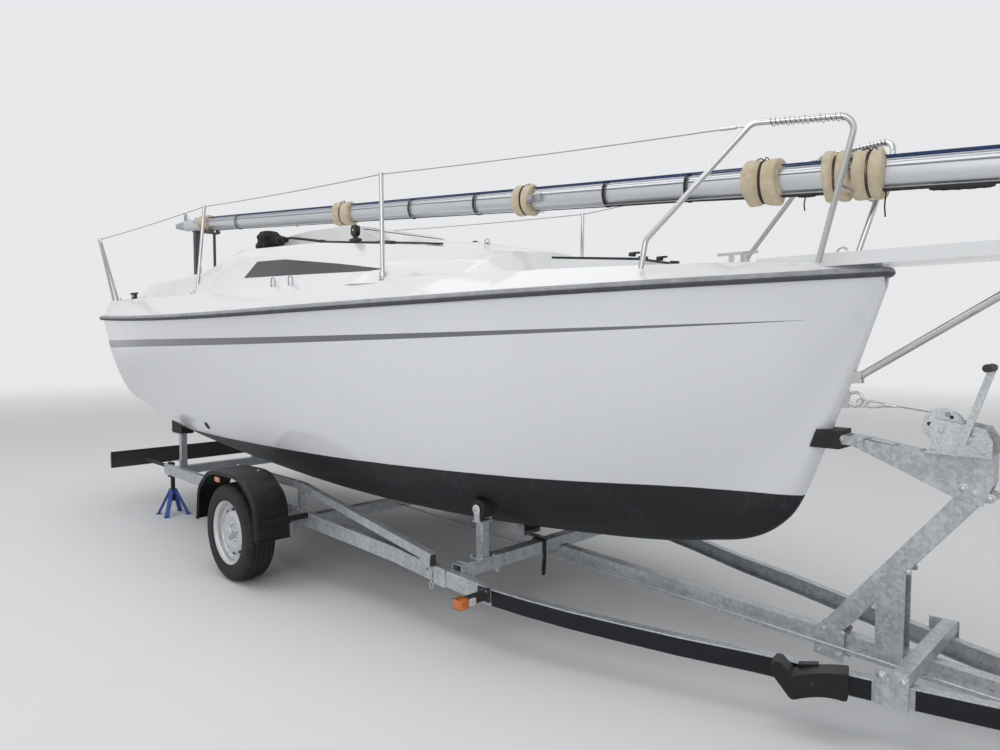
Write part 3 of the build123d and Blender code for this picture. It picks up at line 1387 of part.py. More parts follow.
def build_brake_rod():
    """Brake rod from the axle to the nose with its guide on the beam."""
    z0 = rail_value(TUBE_X, "top") - RAIL_HEIGHT - AXLE_TUBE / 2
    rod_shape = rod((TUBE_X + AXLE_TUBE / 2 + 2, -66, z0), (620, -66, 172), 5.0)
    lug = block(TUBE_X + AXLE_TUBE / 2, TUBE_X + AXLE_TUBE / 2 + 24, -76, -56, z0 - 12, z0 + 12)
    guide = block(585, 615, -76, -30, 150, 185)
    return rod_shape + guide + lug


# export
def export(name, shape):
    """Writes one node, moved into the shared frame."""
    solids = [part for part in shape.solids()]
    if len(solids) == 1:
        whole = solids[0]
    else:
        whole = Compound(children=solids)
    moved = whole.moved(Location((STEM_X, 0, 0)))
    export_step(moved, os.path.join("parts", name + ".step"))


def main():
    """Builds every node."""
    os.makedirs("parts", exist_ok=True)
    outer = hull_outer()
    deck = build_deck(outer)
    strake = build_strake(outer, deck)
    rail = build_rail()
    rails = both(rail)
    strut = build_strut(outer)
    mast = build_mast()
    pulpit = build_pulpit(deck)
    crutch = build_crutch()
    bag = build_bag(deck)
    beam = build_centre_beam()
    winch_strut = build_winch_strut(beam)
    rim = build_rim()
    tyre = build_tyre()
    stop = build_bow_stop(outer)
    stand, stand_post = build_jack_stand()
    roller = build_side_roller(outer)
    frame = build_forehatch_frame(deck)
    nodes = {
        "hull": build_hull(outer),
        "deck": deck,
        "rubbing_strake": strake,
        "cabin_windows": build_windows(),
        "cabin_liner": build_liner(),
        "washboard": build_washboard(),
        "companionway_hatch": build_companion_hatch(),
        "forehatch_frame": frame,
        "forehatch_lid": build_forehatch_lid(),
        "bowsprit": build_bowsprit(deck, strake),
        "bobstay_strut": strut,
        "stem_fittings": build_stem_fittings(outer, strut),
        "pulpit": pulpit,
        "stanchions": build_stanchions(deck),
        "pushpit": build_pushpit(deck),
        "deck_eyes_and_cleats": group([build_chainplates(deck), build_cleats(deck)]),
        "jib_tracks": build_jib_tracks(deck),
        "mast": mast,
        "mast_fittings": group([build_mast_head(), build_mast_foot(), build_spreader_brackets(mast)]),
        "mast_crutch": crutch,
        "foam_pads": build_pads([pulpit, crutch]),
        "halyard_bag": bag,
        "side_rails": rails,
        "centre_beam": beam,
        "front_crossmember": build_front_crossmember(rails, beam),
        "rear_crossmember": build_rear_crossmember(rails),
        "nose_crossmember": build_nose_crossmember(rails, beam),
        "stiffening_bars": both(build_diagonal(rail)),
        "axle_tube": build_axle(rails),
        "swing_arms": both(build_arm()),
        "mudguards": both(build_mudguard()),
        "frame_brackets": group([part for shape in [build_axle_clamps(rail), *build_guard_stays()]
                                 for part in (shape, mirrored(shape))]),
        "tyre_port": tyre,
        "tyre_starboard": mirrored(tyre),
        "rim_port": rim + build_drum(rim),
        "rim_starboard": mirrored(rim + build_drum(rim)),
        "roller_brackets": group([both(build_front_post(outer)), build_keel_brackets(), both(build_rear_post())]),
        "hull_rollers": group([both(roller), build_keel_rollers(outer)]),
        "rear_pads": both(build_rear_pad(outer)),
        "winch_post": winch_strut + build_winch_post(winch_strut, beam) + build_gusset(winch_strut),
        "winch_arm": build_winch_arm(winch_strut, stop),
        "bow_stop": stop,
        "winch_frame": build_winch_frame(),
        "winch_drum": build_winch_drum(),
        "winch_crank": build_winch_crank(),
        "light_board": build_boards(),
        "lamps": group([build_rear_lamps(), build_side_markers()]),
        "wheel_chock": build_chock(),
        "overrun_housing": build_overrun(),
        "coupling_head": build_coupling(),
        "handbrake_lever": build_handbrake(),
        "jockey_tube": build_jockey_tube(),
        "jockey_inner_tube": build_jockey_inner(),
        "jockey_fork": build_jockey_fork(),
        "jockey_wheel": build_jockey_wheel(),
        "jack_stand": stand,
        "jack_stand_post": stand_post,
        "brake_rod": build_brake_rod(),
    }
    for name, shape in nodes.items():
        export(name, shape)


if __name__ == "__main__":
    main()
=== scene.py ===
"""Looks of a small trailer sailer, mast down and lashed, on its galvanised road trailer.

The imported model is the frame. The hull, ropes, pads, bolts, tread and trim are surfaces worked out with numpy,
and the carried-over pieces are copies of their nodes with softened edges. Lengths are in metres.
"""

from __future__ import annotations

import logging
import math
from dataclasses import dataclass, field
from enum import Enum
from typing import Callable, Sequence

import bmesh
import bpy
import numpy as np
from mathutils.bvhtree import BVHTree
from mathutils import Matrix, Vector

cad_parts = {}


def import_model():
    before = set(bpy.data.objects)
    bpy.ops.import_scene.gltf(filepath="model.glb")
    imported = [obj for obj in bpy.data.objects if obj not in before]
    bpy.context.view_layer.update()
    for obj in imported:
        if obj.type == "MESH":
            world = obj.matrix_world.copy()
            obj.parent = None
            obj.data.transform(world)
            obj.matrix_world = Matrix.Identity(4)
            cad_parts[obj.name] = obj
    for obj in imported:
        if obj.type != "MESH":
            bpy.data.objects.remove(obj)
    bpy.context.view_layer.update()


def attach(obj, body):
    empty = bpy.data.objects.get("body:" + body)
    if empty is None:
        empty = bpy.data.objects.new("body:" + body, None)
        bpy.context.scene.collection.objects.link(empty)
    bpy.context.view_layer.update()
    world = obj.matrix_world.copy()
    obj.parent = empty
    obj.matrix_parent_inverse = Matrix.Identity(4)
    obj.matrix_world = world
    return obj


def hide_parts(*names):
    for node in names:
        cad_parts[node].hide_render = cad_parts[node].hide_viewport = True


LOG = logging.getLogger("trailer_sailer")
Colour = tuple[float, float, float]
Point = "tuple[float, float, float] | np.ndarray"
STEM = 2.87  # place of the stem head along the shared frame
HEEL = "yacht_on_trailer"  # the body of all that is fixed
AHEAD, ASTERN = (1.0, 0.0, 0.0), (-1.0, 0.0, 0.0)
PORT, STARBOARD = (0.0, 1.0, 0.0), (0.0, -1.0, 0.0)
UP, DOWN = (0.0, 0.0, 1.0), (0.0, 0.0, -1.0)


def toned(colour: Colour, factor: float) -> Colour:
    """A colour made darker or lighter."""
    return tuple(part * factor for part in colour)


def xyz(x: float | np.ndarray, y: float | np.ndarray, z: float | np.ndarray) -> np.ndarray:
    """Points from their three coordinates, each an array or one number for all."""
    return np.stack(np.broadcast_arrays(x, y, z), -1)


# The shader side: sockets with arithmetic, one maker for nodes, one class per finish.


class Wire:
    """One output socket, on which plain arithmetic adds its own Math nodes."""

    def __init__(self, nodes: Nodes, socket: bpy.types.NodeSocket) -> None:
        """Keeps the socket and the tree that it belongs to."""
        self.nodes = nodes
        self.socket = socket

    def math(self, operation: str, *values: Value) -> Wire:
        """Adds one Math node with the given operation and values."""
        return self.nodes.node("ShaderNodeMath", {"operation": operation}, dict(enumerate(values)))

    def __add__(self, other: Value) -> Wire:
        """Sum of two values."""
        return self.math("ADD", self, other)

    def __radd__(self, other: Value) -> Wire:
        """Sum with a number in front."""
        return self.math("ADD", other, self)

    def __sub__(self, other: Value) -> Wire:
        """Difference of two values."""
        return self.math("SUBTRACT", self, other)

    def __rsub__(self, other: Value) -> Wire:
        """Difference with a number in front."""
        return self.math("SUBTRACT", other, self)

    def __mul__(self, other: Value) -> Wire:
        """Product of two values."""
        return self.math("MULTIPLY", self, other)

    def __rmul__(self, other: Value) -> Wire:
        """Product with a number in front."""
        return self.math("MULTIPLY", other, self)

    def __truediv__(self, other: Value) -> Wire:
        """Quotient of two values."""
        return self.math("DIVIDE", self, other)

    def __pow__(self, other: Value) -> Wire:
        """Power of a value."""
        return self.math("POWER", self, other)

    def __abs__(self) -> Wire:
        """Size of a value without its sign."""
        return self.math("ABSOLUTE", self)

    def high(self, other: Value) -> Wire:
        """The larger of two values."""
        return self.math("MAXIMUM", self, other)

    def sine(self) -> Wire:
        """Sine of a value in radians."""
        return self.math("SINE", self)

    def rise(self, start: Value, end: Value) -> Wire:
        """Smooth step from zero at start to one at end.

        Args:
            start: Value at which the step begins.
            end: Value at which it is complete.

        Returns:
            The step, between zero and one.
        """
        settings = {"interpolation_type": "SMOOTHSTEP", "clamp": True}
        return self.nodes.node("ShaderNodeMapRange", settings, {0: self, 1: start, 2: end, 3: 0.0, 4: 1.0})


Value = "Wire | float | Sequence[float]"


class Nodes:
    """A node tree that is filled through one method."""

    def __init__(self, tree: bpy.types.NodeTree, out: str) -> None:
        """Empties the tree and adds its output node.

        Args:
            tree: The tree.
            out: Blender's type name of its output node.
        """
        self.tree = tree
        tree.nodes.clear()
        self.out = tree.nodes.new(out)

    def node(self, kind: str, settings: dict | None = None, values: dict | None = None, out: int | str = 0) -> Wire:
        """Adds one node.

        Args:
            kind: Blender's type name of the node.
            settings: The node's own settings, set first.
            values: Numbers, colours or wires of its sockets, by name or place.
            out: The output that is wanted.

        Returns:
            That output.
        """
        made = self.tree.nodes.new(kind)
        for key, value in (settings or {}).items():
            if key == "stops":
                self.stops(made.color_ramp, value)
            else:
                setattr(made, key, value)
        for key, value in (values or {}).items():
            self.feed(made.inputs[key], value)
        return Wire(self, made.outputs[out])

    def stops(self, ramp: bpy.types.ColorRamp, rows: Sequence[tuple[float, Colour]]) -> None:
        """Sets the stops of a colour ramp.

        Args:
            ramp: The ramp.
            rows: Place and colour of each stop.
        """
        while len(ramp.elements) < len(rows):
            ramp.elements.new(0.5)
        for element, (place, colour) in zip(ramp.elements, rows):
            element.position = place
            element.color = (*colour, 1.0)

    def feed(self, socket: bpy.types.NodeSocket, value: Value) -> None:
        """Links a wire to a socket, or sets a number or colour on it.

        Args:
            socket: The socket.
            value: What it gets.
        """
        if isinstance(value, Wire):
            self.tree.links.new(value.socket, socket)
        elif socket.type == "RGBA" and len(value) == 3:
            socket.default_value = (*value, 1.0)
        else:
            socket.default_value = value


class Recipe(Nodes):
    """The node tree of one material: a Principled shader and what feeds it."""

    def __init__(self, name: str) -> None:
        """Makes a material with a plain Principled shader.

        Args:
            name: Name of the material.
        """
        self.material = bpy.data.materials.new(name)
        self.material.use_nodes = True
        super().__init__(self.material.node_tree, "ShaderNodeOutputMaterial")
        self.body = self.tree.nodes.new("ShaderNodeBsdfPrincipled")
        self.tree.links.new(self.body.outputs[0], self.out.inputs[0])

    def set(self, **values: Value) -> None:
        """Feeds the Principled shader's sockets, whose names have underscores here."""
        for key, value in values.items():
            self.feed(self.body.inputs[key.replace("_", " ")], value)

    def here(self, scale: Point = (1, 1, 1), turn: Point = (0, 0, 0)) -> Wire:
        """The place on the object, stretched and turned.

        Args:
            scale: Stretch along each axis.
            turn: Turn about each axis in radians.

        Returns:
            The coordinates.
        """
        place = self.node("ShaderNodeTexCoord", out="Object")
        if scale == (1, 1, 1) and turn == (0, 0, 0):
            return place
        return self.node("ShaderNodeMapping", values={"Vector": place, "Rotation": turn, "Scale": scale})

    def axes(self) -> tuple[Wire, Wire, Wire]:
        """The three coordinates of the place on the object."""
        split = self.node("ShaderNodeSeparateXYZ", values={0: self.here()}).socket.node
        return tuple(Wire(self, split.outputs[axis]) for axis in range(3))

    def normal_z(self) -> Wire:
        """How far the surface faces up."""
        facing = self.node("ShaderNodeNewGeometry", out="Normal")
        return self.node("ShaderNodeSeparateXYZ", values={0: facing}, out=2)

    def noise(self, scale: float, detail: float = 3.0, rough: float = 0.55, where: Wire | None = None) -> Wire:
        """Cloudy noise between zero and one.

        Args:
            scale: Lumps per metre.
            detail: Number of finer layers.
            rough: Strength of the finer layers.
            where: Coordinates, the place on the object if left out.

        Returns:
            The noise.
        """
        values = {"Vector": where or self.here(), "Scale": scale, "Detail": detail, "Roughness": rough}
        return self.node("ShaderNodeTexNoise", None, values)

    def cells(self, scale: float, where: Wire | None = None, feature: str = "F1", out: str = "Distance") -> Wire:
        """Voronoi cells.

        Args:
            scale: Cells per metre.
            where: Coordinates, the place on the object if left out.
            feature: Blender's name of the cell measure.
            out: The output that is wanted.

        Returns:
            The chosen output.
        """
        values = {"Vector": where or self.here(), "Scale": scale}
        return self.node("ShaderNodeTexVoronoi", {"feature": feature}, values, out)

    def tint(self, mask: Value, first: Value, second: Value) -> Wire:
        """Colour that goes from the first to the second with a mask.

        Args:
            mask: Share of the second colour.
            first: Colour where the mask is zero.
            second: Colour where the mask is one.

        Returns:
            The mixed colour.
        """
        return self.node("ShaderNodeMix", {"data_type": "RGBA"}, {0: mask, 6: first, 7: second}, 2)

    def bump(self, height: Value, strength: float, distance: float) -> None:
        """Feeds a height through a Bump node to the shader's normal."""
        values = {"Strength": strength, "Distance": distance, "Height": height}
        self.set(Normal=self.node("ShaderNodeBump", None, values))


@dataclass(frozen=True)
class Finish:
    """What every finish has: a name, and a recipe that is mixed once."""

    name: str

    def mix(self, recipe: Recipe) -> None:
        """Sets the recipe's sockets; each finish has its own."""
        raise NotImplementedError

    def material(self) -> bpy.types.Material:
        """The finish as a material, mixed at its first use.

        Returns:
            The material.
        """
        found = bpy.data.materials.get(self.name)
        if found is None:
            recipe = Recipe(self.name)
            self.mix(recipe)
            found = recipe.material
        return found


@dataclass(frozen=True)
class Gelcoat(Finish):
    """Glossy moulded polyester with a faint waviness and rain marks."""

    tone: Colour = (0.8, 0.81, 0.82)
    grip: float = 0.0

    def mix(self, recipe: Recipe) -> None:
        """White tone with soft clouds; a grip above zero adds the fine non-slip grain.

        Args:
            recipe: The recipe that it fills in.
        """
        clouds = recipe.noise(1.3, 4.0)
        streaks = recipe.noise(1.0, 4.0, 0.6, recipe.here((9.0, 9.0, 1.2)))
        dull = clouds.rise(0.45, 0.75) * 0.5 + streaks.rise(0.55, 0.8) * 0.5
        shade = toned(self.tone, 0.93)
        recipe.set(Base_Color=recipe.tint(dull, self.tone, shade), Roughness=0.16 + dull * 0.1)
        recipe.set(Coat_Weight=0.35, Coat_Roughness=0.06)
        if self.grip > 0.0:
            recipe.bump(recipe.cells(420.0), self.grip, 0.0006)
        else:
            recipe.bump(recipe.noise(3.0, 2.0), 0.04, 0.004)


@dataclass(frozen=True)
class HullPaint(Finish):
    """Topsides in white gelcoat, a grey cove stripe and brushed dark antifouling below the waterline."""

    white: Colour = (0.78, 0.79, 0.81)
    stripe: Colour = (0.155, 0.16, 0.172)
    bottom: Colour = (0.0075, 0.008, 0.0105)
    edge_z: float = 0.84
    edge_x: float = 1.0
    edge_bend: float = 0.0045
    stripe_curve: tuple[float, float, float, float] = (1.5305, 0.01648, 0.0038, 0.0007)
    stripe_half: float = 0.0186
    stripe_end: float = 2.62

    def mix(self, recipe: Recipe) -> None:
        """The bands are read from the height over a line that rises with the length.

        Args:
            recipe: The recipe that it fills in.
        """
        x, _, z = recipe.axes()
        clouds = recipe.noise(1.1, 4.0)
        runs = recipe.noise(1.0, 4.0, 0.6, recipe.here((14.0, 14.0, 0.8)))
        # Streaks darker towards the bottom of the hull: partly dirt runs, partly painted shade on the lower hull.
        stain = runs.rise(0.52, 0.78) * (1.0 - z).rise(-0.55, 0.15)
        soft = clouds.rise(0.4, 0.8) * 0.35 + stain * 0.3
        skin = recipe.tint(soft, self.white, toned(self.white, 0.9))
        flat, rise, sweep, lift = self.stripe_curve
        middle = ((x * lift + sweep) * x + rise) * x + flat
        left = self.stripe_end - x
        half = (left.high(0.0) / self.stripe_end) ** 0.72 * self.stripe_half
        band = (half - abs(z - middle)).rise(-0.0008, 0.0008) * left.rise(0.0, 0.01)
        speck = recipe.noise(420.0, 2.0)
        stripe = recipe.tint(speck, toned(self.stripe, 0.85), toned(self.stripe, 1.2))
        skin = recipe.tint(band, skin, stripe)
        wave = recipe.noise(9.0, 2.0) * 0.004
        away = x - self.edge_x
        line = self.edge_z - away * away * self.edge_bend + wave
        below = (line - z).rise(-0.0012, 0.0012)
        brush = recipe.noise(1.0, 5.0, 0.65, recipe.here((46.0, 46.0, 2.4)))
        patch = recipe.noise(3.5, 4.0)
        worn = brush.rise(0.42, 0.78) * patch.rise(0.35, 0.7)
        paint = recipe.tint(worn, self.bottom, (0.04, 0.042, 0.05))
        recipe.set(Base_Color=recipe.tint(below, skin, paint))
        gloss = 0.15 + soft * 0.12 + band * 0.1
        recipe.set(Roughness=gloss * (1.0 - below) + (0.46 + worn * 0.16) * below)
        recipe.set(Coat_Weight=0.4 * (1.0 - below), Coat_Roughness=0.05)
        recipe.bump(brush * below + recipe.noise(2.2, 2.0) * 0.5, 0.1, 0.0022)


@dataclass(frozen=True)
class Galvanised(Finish):
    """Hot-dip galvanised steel: faint crystals, dull bloom and runs down the sides."""

    tone: Colour = (0.46, 0.48, 0.5)
    spangle: float = 70.0
    metal: float = 0.55

    def mix(self, recipe: Recipe) -> None:
        """Two sizes of Voronoi cells make the crystals, and stretched noise makes the runs.

        Args:
            recipe: The recipe that it fills in.
        """
        crystals = recipe.cells(self.spangle, out="Color")
        value = recipe.node("ShaderNodeSeparateColor", None, {0: crystals})
        bloom = recipe.noise(4.0, 5.0, 0.6)
        runs = recipe.noise(1.0, 4.0, 0.6, recipe.here((34.0, 34.0, 5.0)))
        grains = value * 0.3 + bloom * 0.45 + runs * 0.35
        dark = toned(self.tone, 0.8)
        light = toned(self.tone, 1.2)
        base = recipe.tint(grains.rise(0.3, 0.8), dark, light)
        dull = (bloom * 0.6 + runs * 0.4).rise(0.5, 0.66)
        recipe.set(Base_Color=recipe.tint(dull * 0.3, base, (0.56, 0.575, 0.585)))
        recipe.set(Metallic=self.metal - dull * 0.2, Roughness=0.36 + value * 0.07 + dull * 0.14)
        recipe.bump(value * 0.25 + recipe.noise(150.0, 3.0) * 0.75, 0.1, 0.0006)


@dataclass(frozen=True)
class Stainless(Finish):
    """Polished stainless steel with fine drawn marks."""

    tone: Colour = (0.62, 0.62, 0.61)
    gloss: float = 0.13

    def mix(self, recipe: Recipe) -> None:
        """A bright metal whose gloss changes with clouds and short scratches.

        Args:
            recipe: The recipe that it fills in.
        """
        marks = recipe.noise(1.0, 3.0, 0.6, recipe.here((260.0, 260.0, 30.0)))
        cloud = recipe.noise(7.0, 3.0)
        recipe.set(Base_Color=recipe.tint(cloud, self.tone, toned(self.tone, 0.82)), Metallic=1.0)
        recipe.set(Roughness=self.gloss + marks.rise(0.5, 0.8) * 0.1 + cloud * 0.05)
        recipe.bump(marks, 0.04, 0.0004)


@dataclass(frozen=True)
class Anodised(Finish):
    """Silver anodised mast extrusion with die lines along its length."""

    tone: Colour = (0.66, 0.68, 0.7)

    def mix(self, recipe: Recipe) -> None:
        """Die lines are noise drawn out along the mast.

        Args:
            recipe: The recipe that it fills in.
        """
        lines = recipe.noise(1.0, 3.0, 0.6, recipe.here((0.7, 260.0, 260.0), (0.0, -0.079, 0.0)))
        cloud = recipe.noise(2.6, 4.0)
        shade = recipe.tint(lines * 0.5 + cloud * 0.5, toned(self.tone, 0.86), self.tone)
        recipe.set(Base_Color=shade, Metallic=0.72)
        recipe.set(Roughness=0.3 + cloud * 0.12)
        recipe.bump(lines, 0.06, 0.0005)


@dataclass(frozen=True)
class Plastic(Finish):
    """Moulded plastic or rubber with a fine leather grain."""

    tone: Colour = (0.012, 0.012, 0.013)
    gloss: float = 0.42
    grain: float = 0.25
    size: float = 700.0

    def mix(self, recipe: Recipe) -> None:
        """Grain from cells, dust from upward faces.

        Args:
            recipe: The recipe that it fills in.
        """
        cloud = recipe.noise(8.0, 4.0)
        dust = recipe.normal_z().rise(0.2, 0.95) * cloud.rise(0.35, 0.7)
        pale = tuple(c * 0.75 + 0.045 for c in self.tone)
        recipe.set(Base_Color=recipe.tint(dust * 0.55, self.tone, pale))
        recipe.set(Roughness=self.gloss + cloud * 0.1 + dust * 0.12, Specular_IOR_Level=0.3)
        recipe.bump(recipe.cells(self.size), self.grain, 0.0005)


@dataclass(frozen=True)
class Speckled(Finish):
    """Pale grey rubbing strake with fine specks, dusty on top, with painted shade on the faces that look down."""

    tone: Colour = (0.3, 0.31, 0.325)

    def mix(self, recipe: Recipe) -> None:
        """Specks from fine noise; painted shade darkens the faces that look down.

        Args:
            recipe: The recipe that it fills in.
        """
        speck = recipe.noise(300.0, 4.0, 0.75)
        worn = recipe.noise(14.0, 5.0, 0.7)
        # Painted shade: the faces that look down get a near-black colour, standing in for the shadow under the strake.
        up = recipe.normal_z().rise(-0.22, 0.18)
        grain = (speck * 0.6 + worn * 0.4).rise(0.32, 0.68)
        top = recipe.tint(grain, toned(self.tone, 0.62), toned(self.tone, 1.45))
        low = recipe.tint(grain, (0.05, 0.052, 0.058), (0.105, 0.108, 0.118))
        recipe.set(Base_Color=recipe.tint(up, low, top), Roughness=0.62 + grain * 0.12)
        recipe.bump(speck, 0.2, 0.0008)


@dataclass(frozen=True)
class Paint(Finish):
    """Enamel or cast paint with slight orange peel, chips and dust."""

    tone: Colour = (0.02, 0.06, 0.3)
    gloss: float = 0.3
    metal: float = 0.0
    wear: float = 0.3

    def mix(self, recipe: Recipe) -> None:
        """Scuffs from noise show a darker tone.

        Args:
            recipe: The recipe that it fills in.
        """
        cloud = recipe.noise(11.0, 5.0, 0.65)
        scuff = recipe.noise(70.0, 5.0, 0.7).rise(0.6, 0.7) * self.wear
        shade = recipe.tint(cloud, toned(self.tone, 0.82), toned(self.tone, 1.12))
        recipe.set(Base_Color=recipe.tint(scuff, shade, toned(self.tone, 0.35)))
        recipe.set(Roughness=self.gloss + cloud * 0.12 + scuff * 0.25, Metallic=self.metal)
        recipe.bump(recipe.noise(130.0, 2.0), 0.07, 0.0006)


@dataclass(frozen=True)
class Acrylic(Finish):
    """Smoked acrylic pane, nearly opaque from outside."""

    tone: Colour = (0.03, 0.032, 0.036)
    dusty: float = 0.3

    def mix(self, recipe: Recipe) -> None:
        """Dark glossy pane with a film of dried rain.

        Args:
            recipe: The recipe that it fills in.
        """
        film = recipe.noise(26.0, 6.0, 0.72)
        spots = recipe.cells(160.0).rise(0.15, 0.32)
        haze = film.rise(0.42, 0.75) * self.dusty
        recipe.set(Base_Color=recipe.tint(haze * spots, self.tone, (0.1, 0.105, 0.11)))
        recipe.set(Roughness=0.14 + haze * 0.35, Specular_IOR_Level=0.17, Coat_Weight=0.06, Coat_Roughness=0.05)
        recipe.bump(film, 0.03, 0.0006)


@dataclass(frozen=True)
class Lens(Finish):
    """Coloured lamp lens with prisms moulded behind it."""

    tone: Colour = (0.75, 0.17, 0.01)

    def mix(self, recipe: Recipe) -> None:
        """Small prisms from a chequer of two waves.

        Args:
            recipe: The recipe that it fills in.
        """
        x, y, z = recipe.axes()
        prism = (y * 900.0 + x * 900.0).sine() * (z * 900.0).sine()
        glow = recipe.tint(prism.rise(-0.6, 0.9), toned(self.tone, 0.62), self.tone)
        recipe.set(Base_Color=glow, Roughness=0.16 + prism.rise(-1.0, 1.0) * 0.08, Coat_Weight=0.7)
        recipe.set(Coat_Roughness=0.05, Subsurface_Weight=0.25, Subsurface_Radius=(0.01, 0.01, 0.01))
        recipe.bump(prism, 0.25, 0.001)


@dataclass(frozen=True)
class Rubber(Finish):
    """Tyre or roller rubber, matt, with dust in the low places."""

    tone: Colour = (0.014, 0.014, 0.015)

    def mix(self, recipe: Recipe) -> None:
        """Brown-grey dust over near black.

        Args:
            recipe: The recipe that it fills in.
        """
        dust = recipe.noise(16.0, 6.0, 0.7)
        fine = recipe.noise(240.0, 4.0, 0.7)
        veil = dust.rise(0.45, 0.75) * 0.5
        recipe.set(Base_Color=recipe.tint(veil, self.tone, (0.055, 0.05, 0.045)))
        recipe.set(Roughness=0.66 + veil * 0.2, Specular_IOR_Level=0.35)
        recipe.bump(fine, 0.22, 0.0006)


@dataclass(frozen=True)
class Foam(Finish):
    """Cut open-cell foam, cream, with browned edges and pores."""

    tone: Colour = (0.62, 0.52, 0.36)

    def mix(self, recipe: Recipe) -> None:
        """Pores from fine cells, stains from slow noise.

        Args:
            recipe: The recipe that it fills in.
        """
        pores = recipe.cells(620.0)
        stain = recipe.noise(24.0, 5.0, 0.7)
        shade = recipe.tint(stain.rise(0.38, 0.72), self.tone, (0.47, 0.36, 0.21))
        recipe.set(Base_Color=recipe.tint(pores.rise(0.1, 0.45) * 0.35, shade, (0.72, 0.64, 0.5)))
        recipe.set(Roughness=0.93, Specular_IOR_Level=0.15, Sheen_Weight=0.25)
        recipe.bump(pores * 0.6 + stain * 0.4, 0.55, 0.0018)


@dataclass(frozen=True)
class Cloth(Finish):
    """Woven synthetic cloth with a visible weave and soft creases."""

    tone: Colour = (0.012, 0.012, 0.014)
    threads: float = 900.0

    def mix(self, recipe: Recipe) -> None:
        """Warp and weft as two waves across each other.

        Args:
            recipe: The recipe that it fills in.
        """
        x, y, z = recipe.axes()
        warp = (x * self.threads + z * self.threads).sine()
        weft = (y * self.threads - z * self.threads).sine()
        weave = warp * weft
        fold = recipe.noise(30.0, 5.0, 0.65)
        pale = tuple(c * 1.4 + 0.005 for c in self.tone)
        recipe.set(Base_Color=recipe.tint(fold.rise(0.35, 0.75), self.tone, pale))
        recipe.set(Roughness=0.82, Sheen_Weight=0.14, Specular_IOR_Level=0.18)
        recipe.bump(weave * 0.25 + fold, 0.5, 0.003)


@dataclass(frozen=True)
class Board(Finish):
    """Varnished plywood."""

    tone: Colour = (0.3, 0.15, 0.06)

    def mix(self, recipe: Recipe) -> None:
        """Grain is noise drawn out across the boat.

        Args:
            recipe: The recipe that it fills in.
        """
        grain = recipe.noise(1.0, 6.0, 0.68, recipe.here((60.0, 2.2, 60.0)))
        recipe.set(Base_Color=recipe.tint(grain.rise(0.3, 0.7), toned(self.tone, 0.55), self.tone))
        recipe.set(Roughness=0.22 + grain * 0.14, Coat_Weight=0.5, Coat_Roughness=0.1)
        recipe.bump(grain, 0.12, 0.0008)


@dataclass(frozen=True)
class Braid(Finish):
    """Braided rope or stranded wire: crossing yarns round the line."""

    tone: Colour = (0.02, 0.045, 0.17)
    fleck: Colour = (0.1, 0.16, 0.36)
    pitch: float = 900.0
    metal: float = 0.0

    def mix(self, recipe: Recipe) -> None:
        """Two slanting waves make the yarns, with painted shade in the grooves between them.

        Args:
            recipe: The recipe that it fills in.
        """
        x, y, z = recipe.axes()
        left = (x * self.pitch + y * self.pitch + z * self.pitch).sine()
        right = (x * self.pitch - y * self.pitch - z * self.pitch).sine()
        yarn = left.high(right)
        fleck = (left * right).rise(0.55, 0.9)
        # Painted shade: the grooves between the yarns are darkened to half the tone.
        shade = recipe.tint(yarn.rise(-0.2, 0.9), toned(self.tone, 0.5), self.tone)
        recipe.set(Base_Color=recipe.tint(fleck, shade, self.fleck))
        recipe.set(Roughness=0.75 - 0.45 * self.metal, Metallic=self.metal)
        recipe.bump(yarn, 0.5, 0.0008)


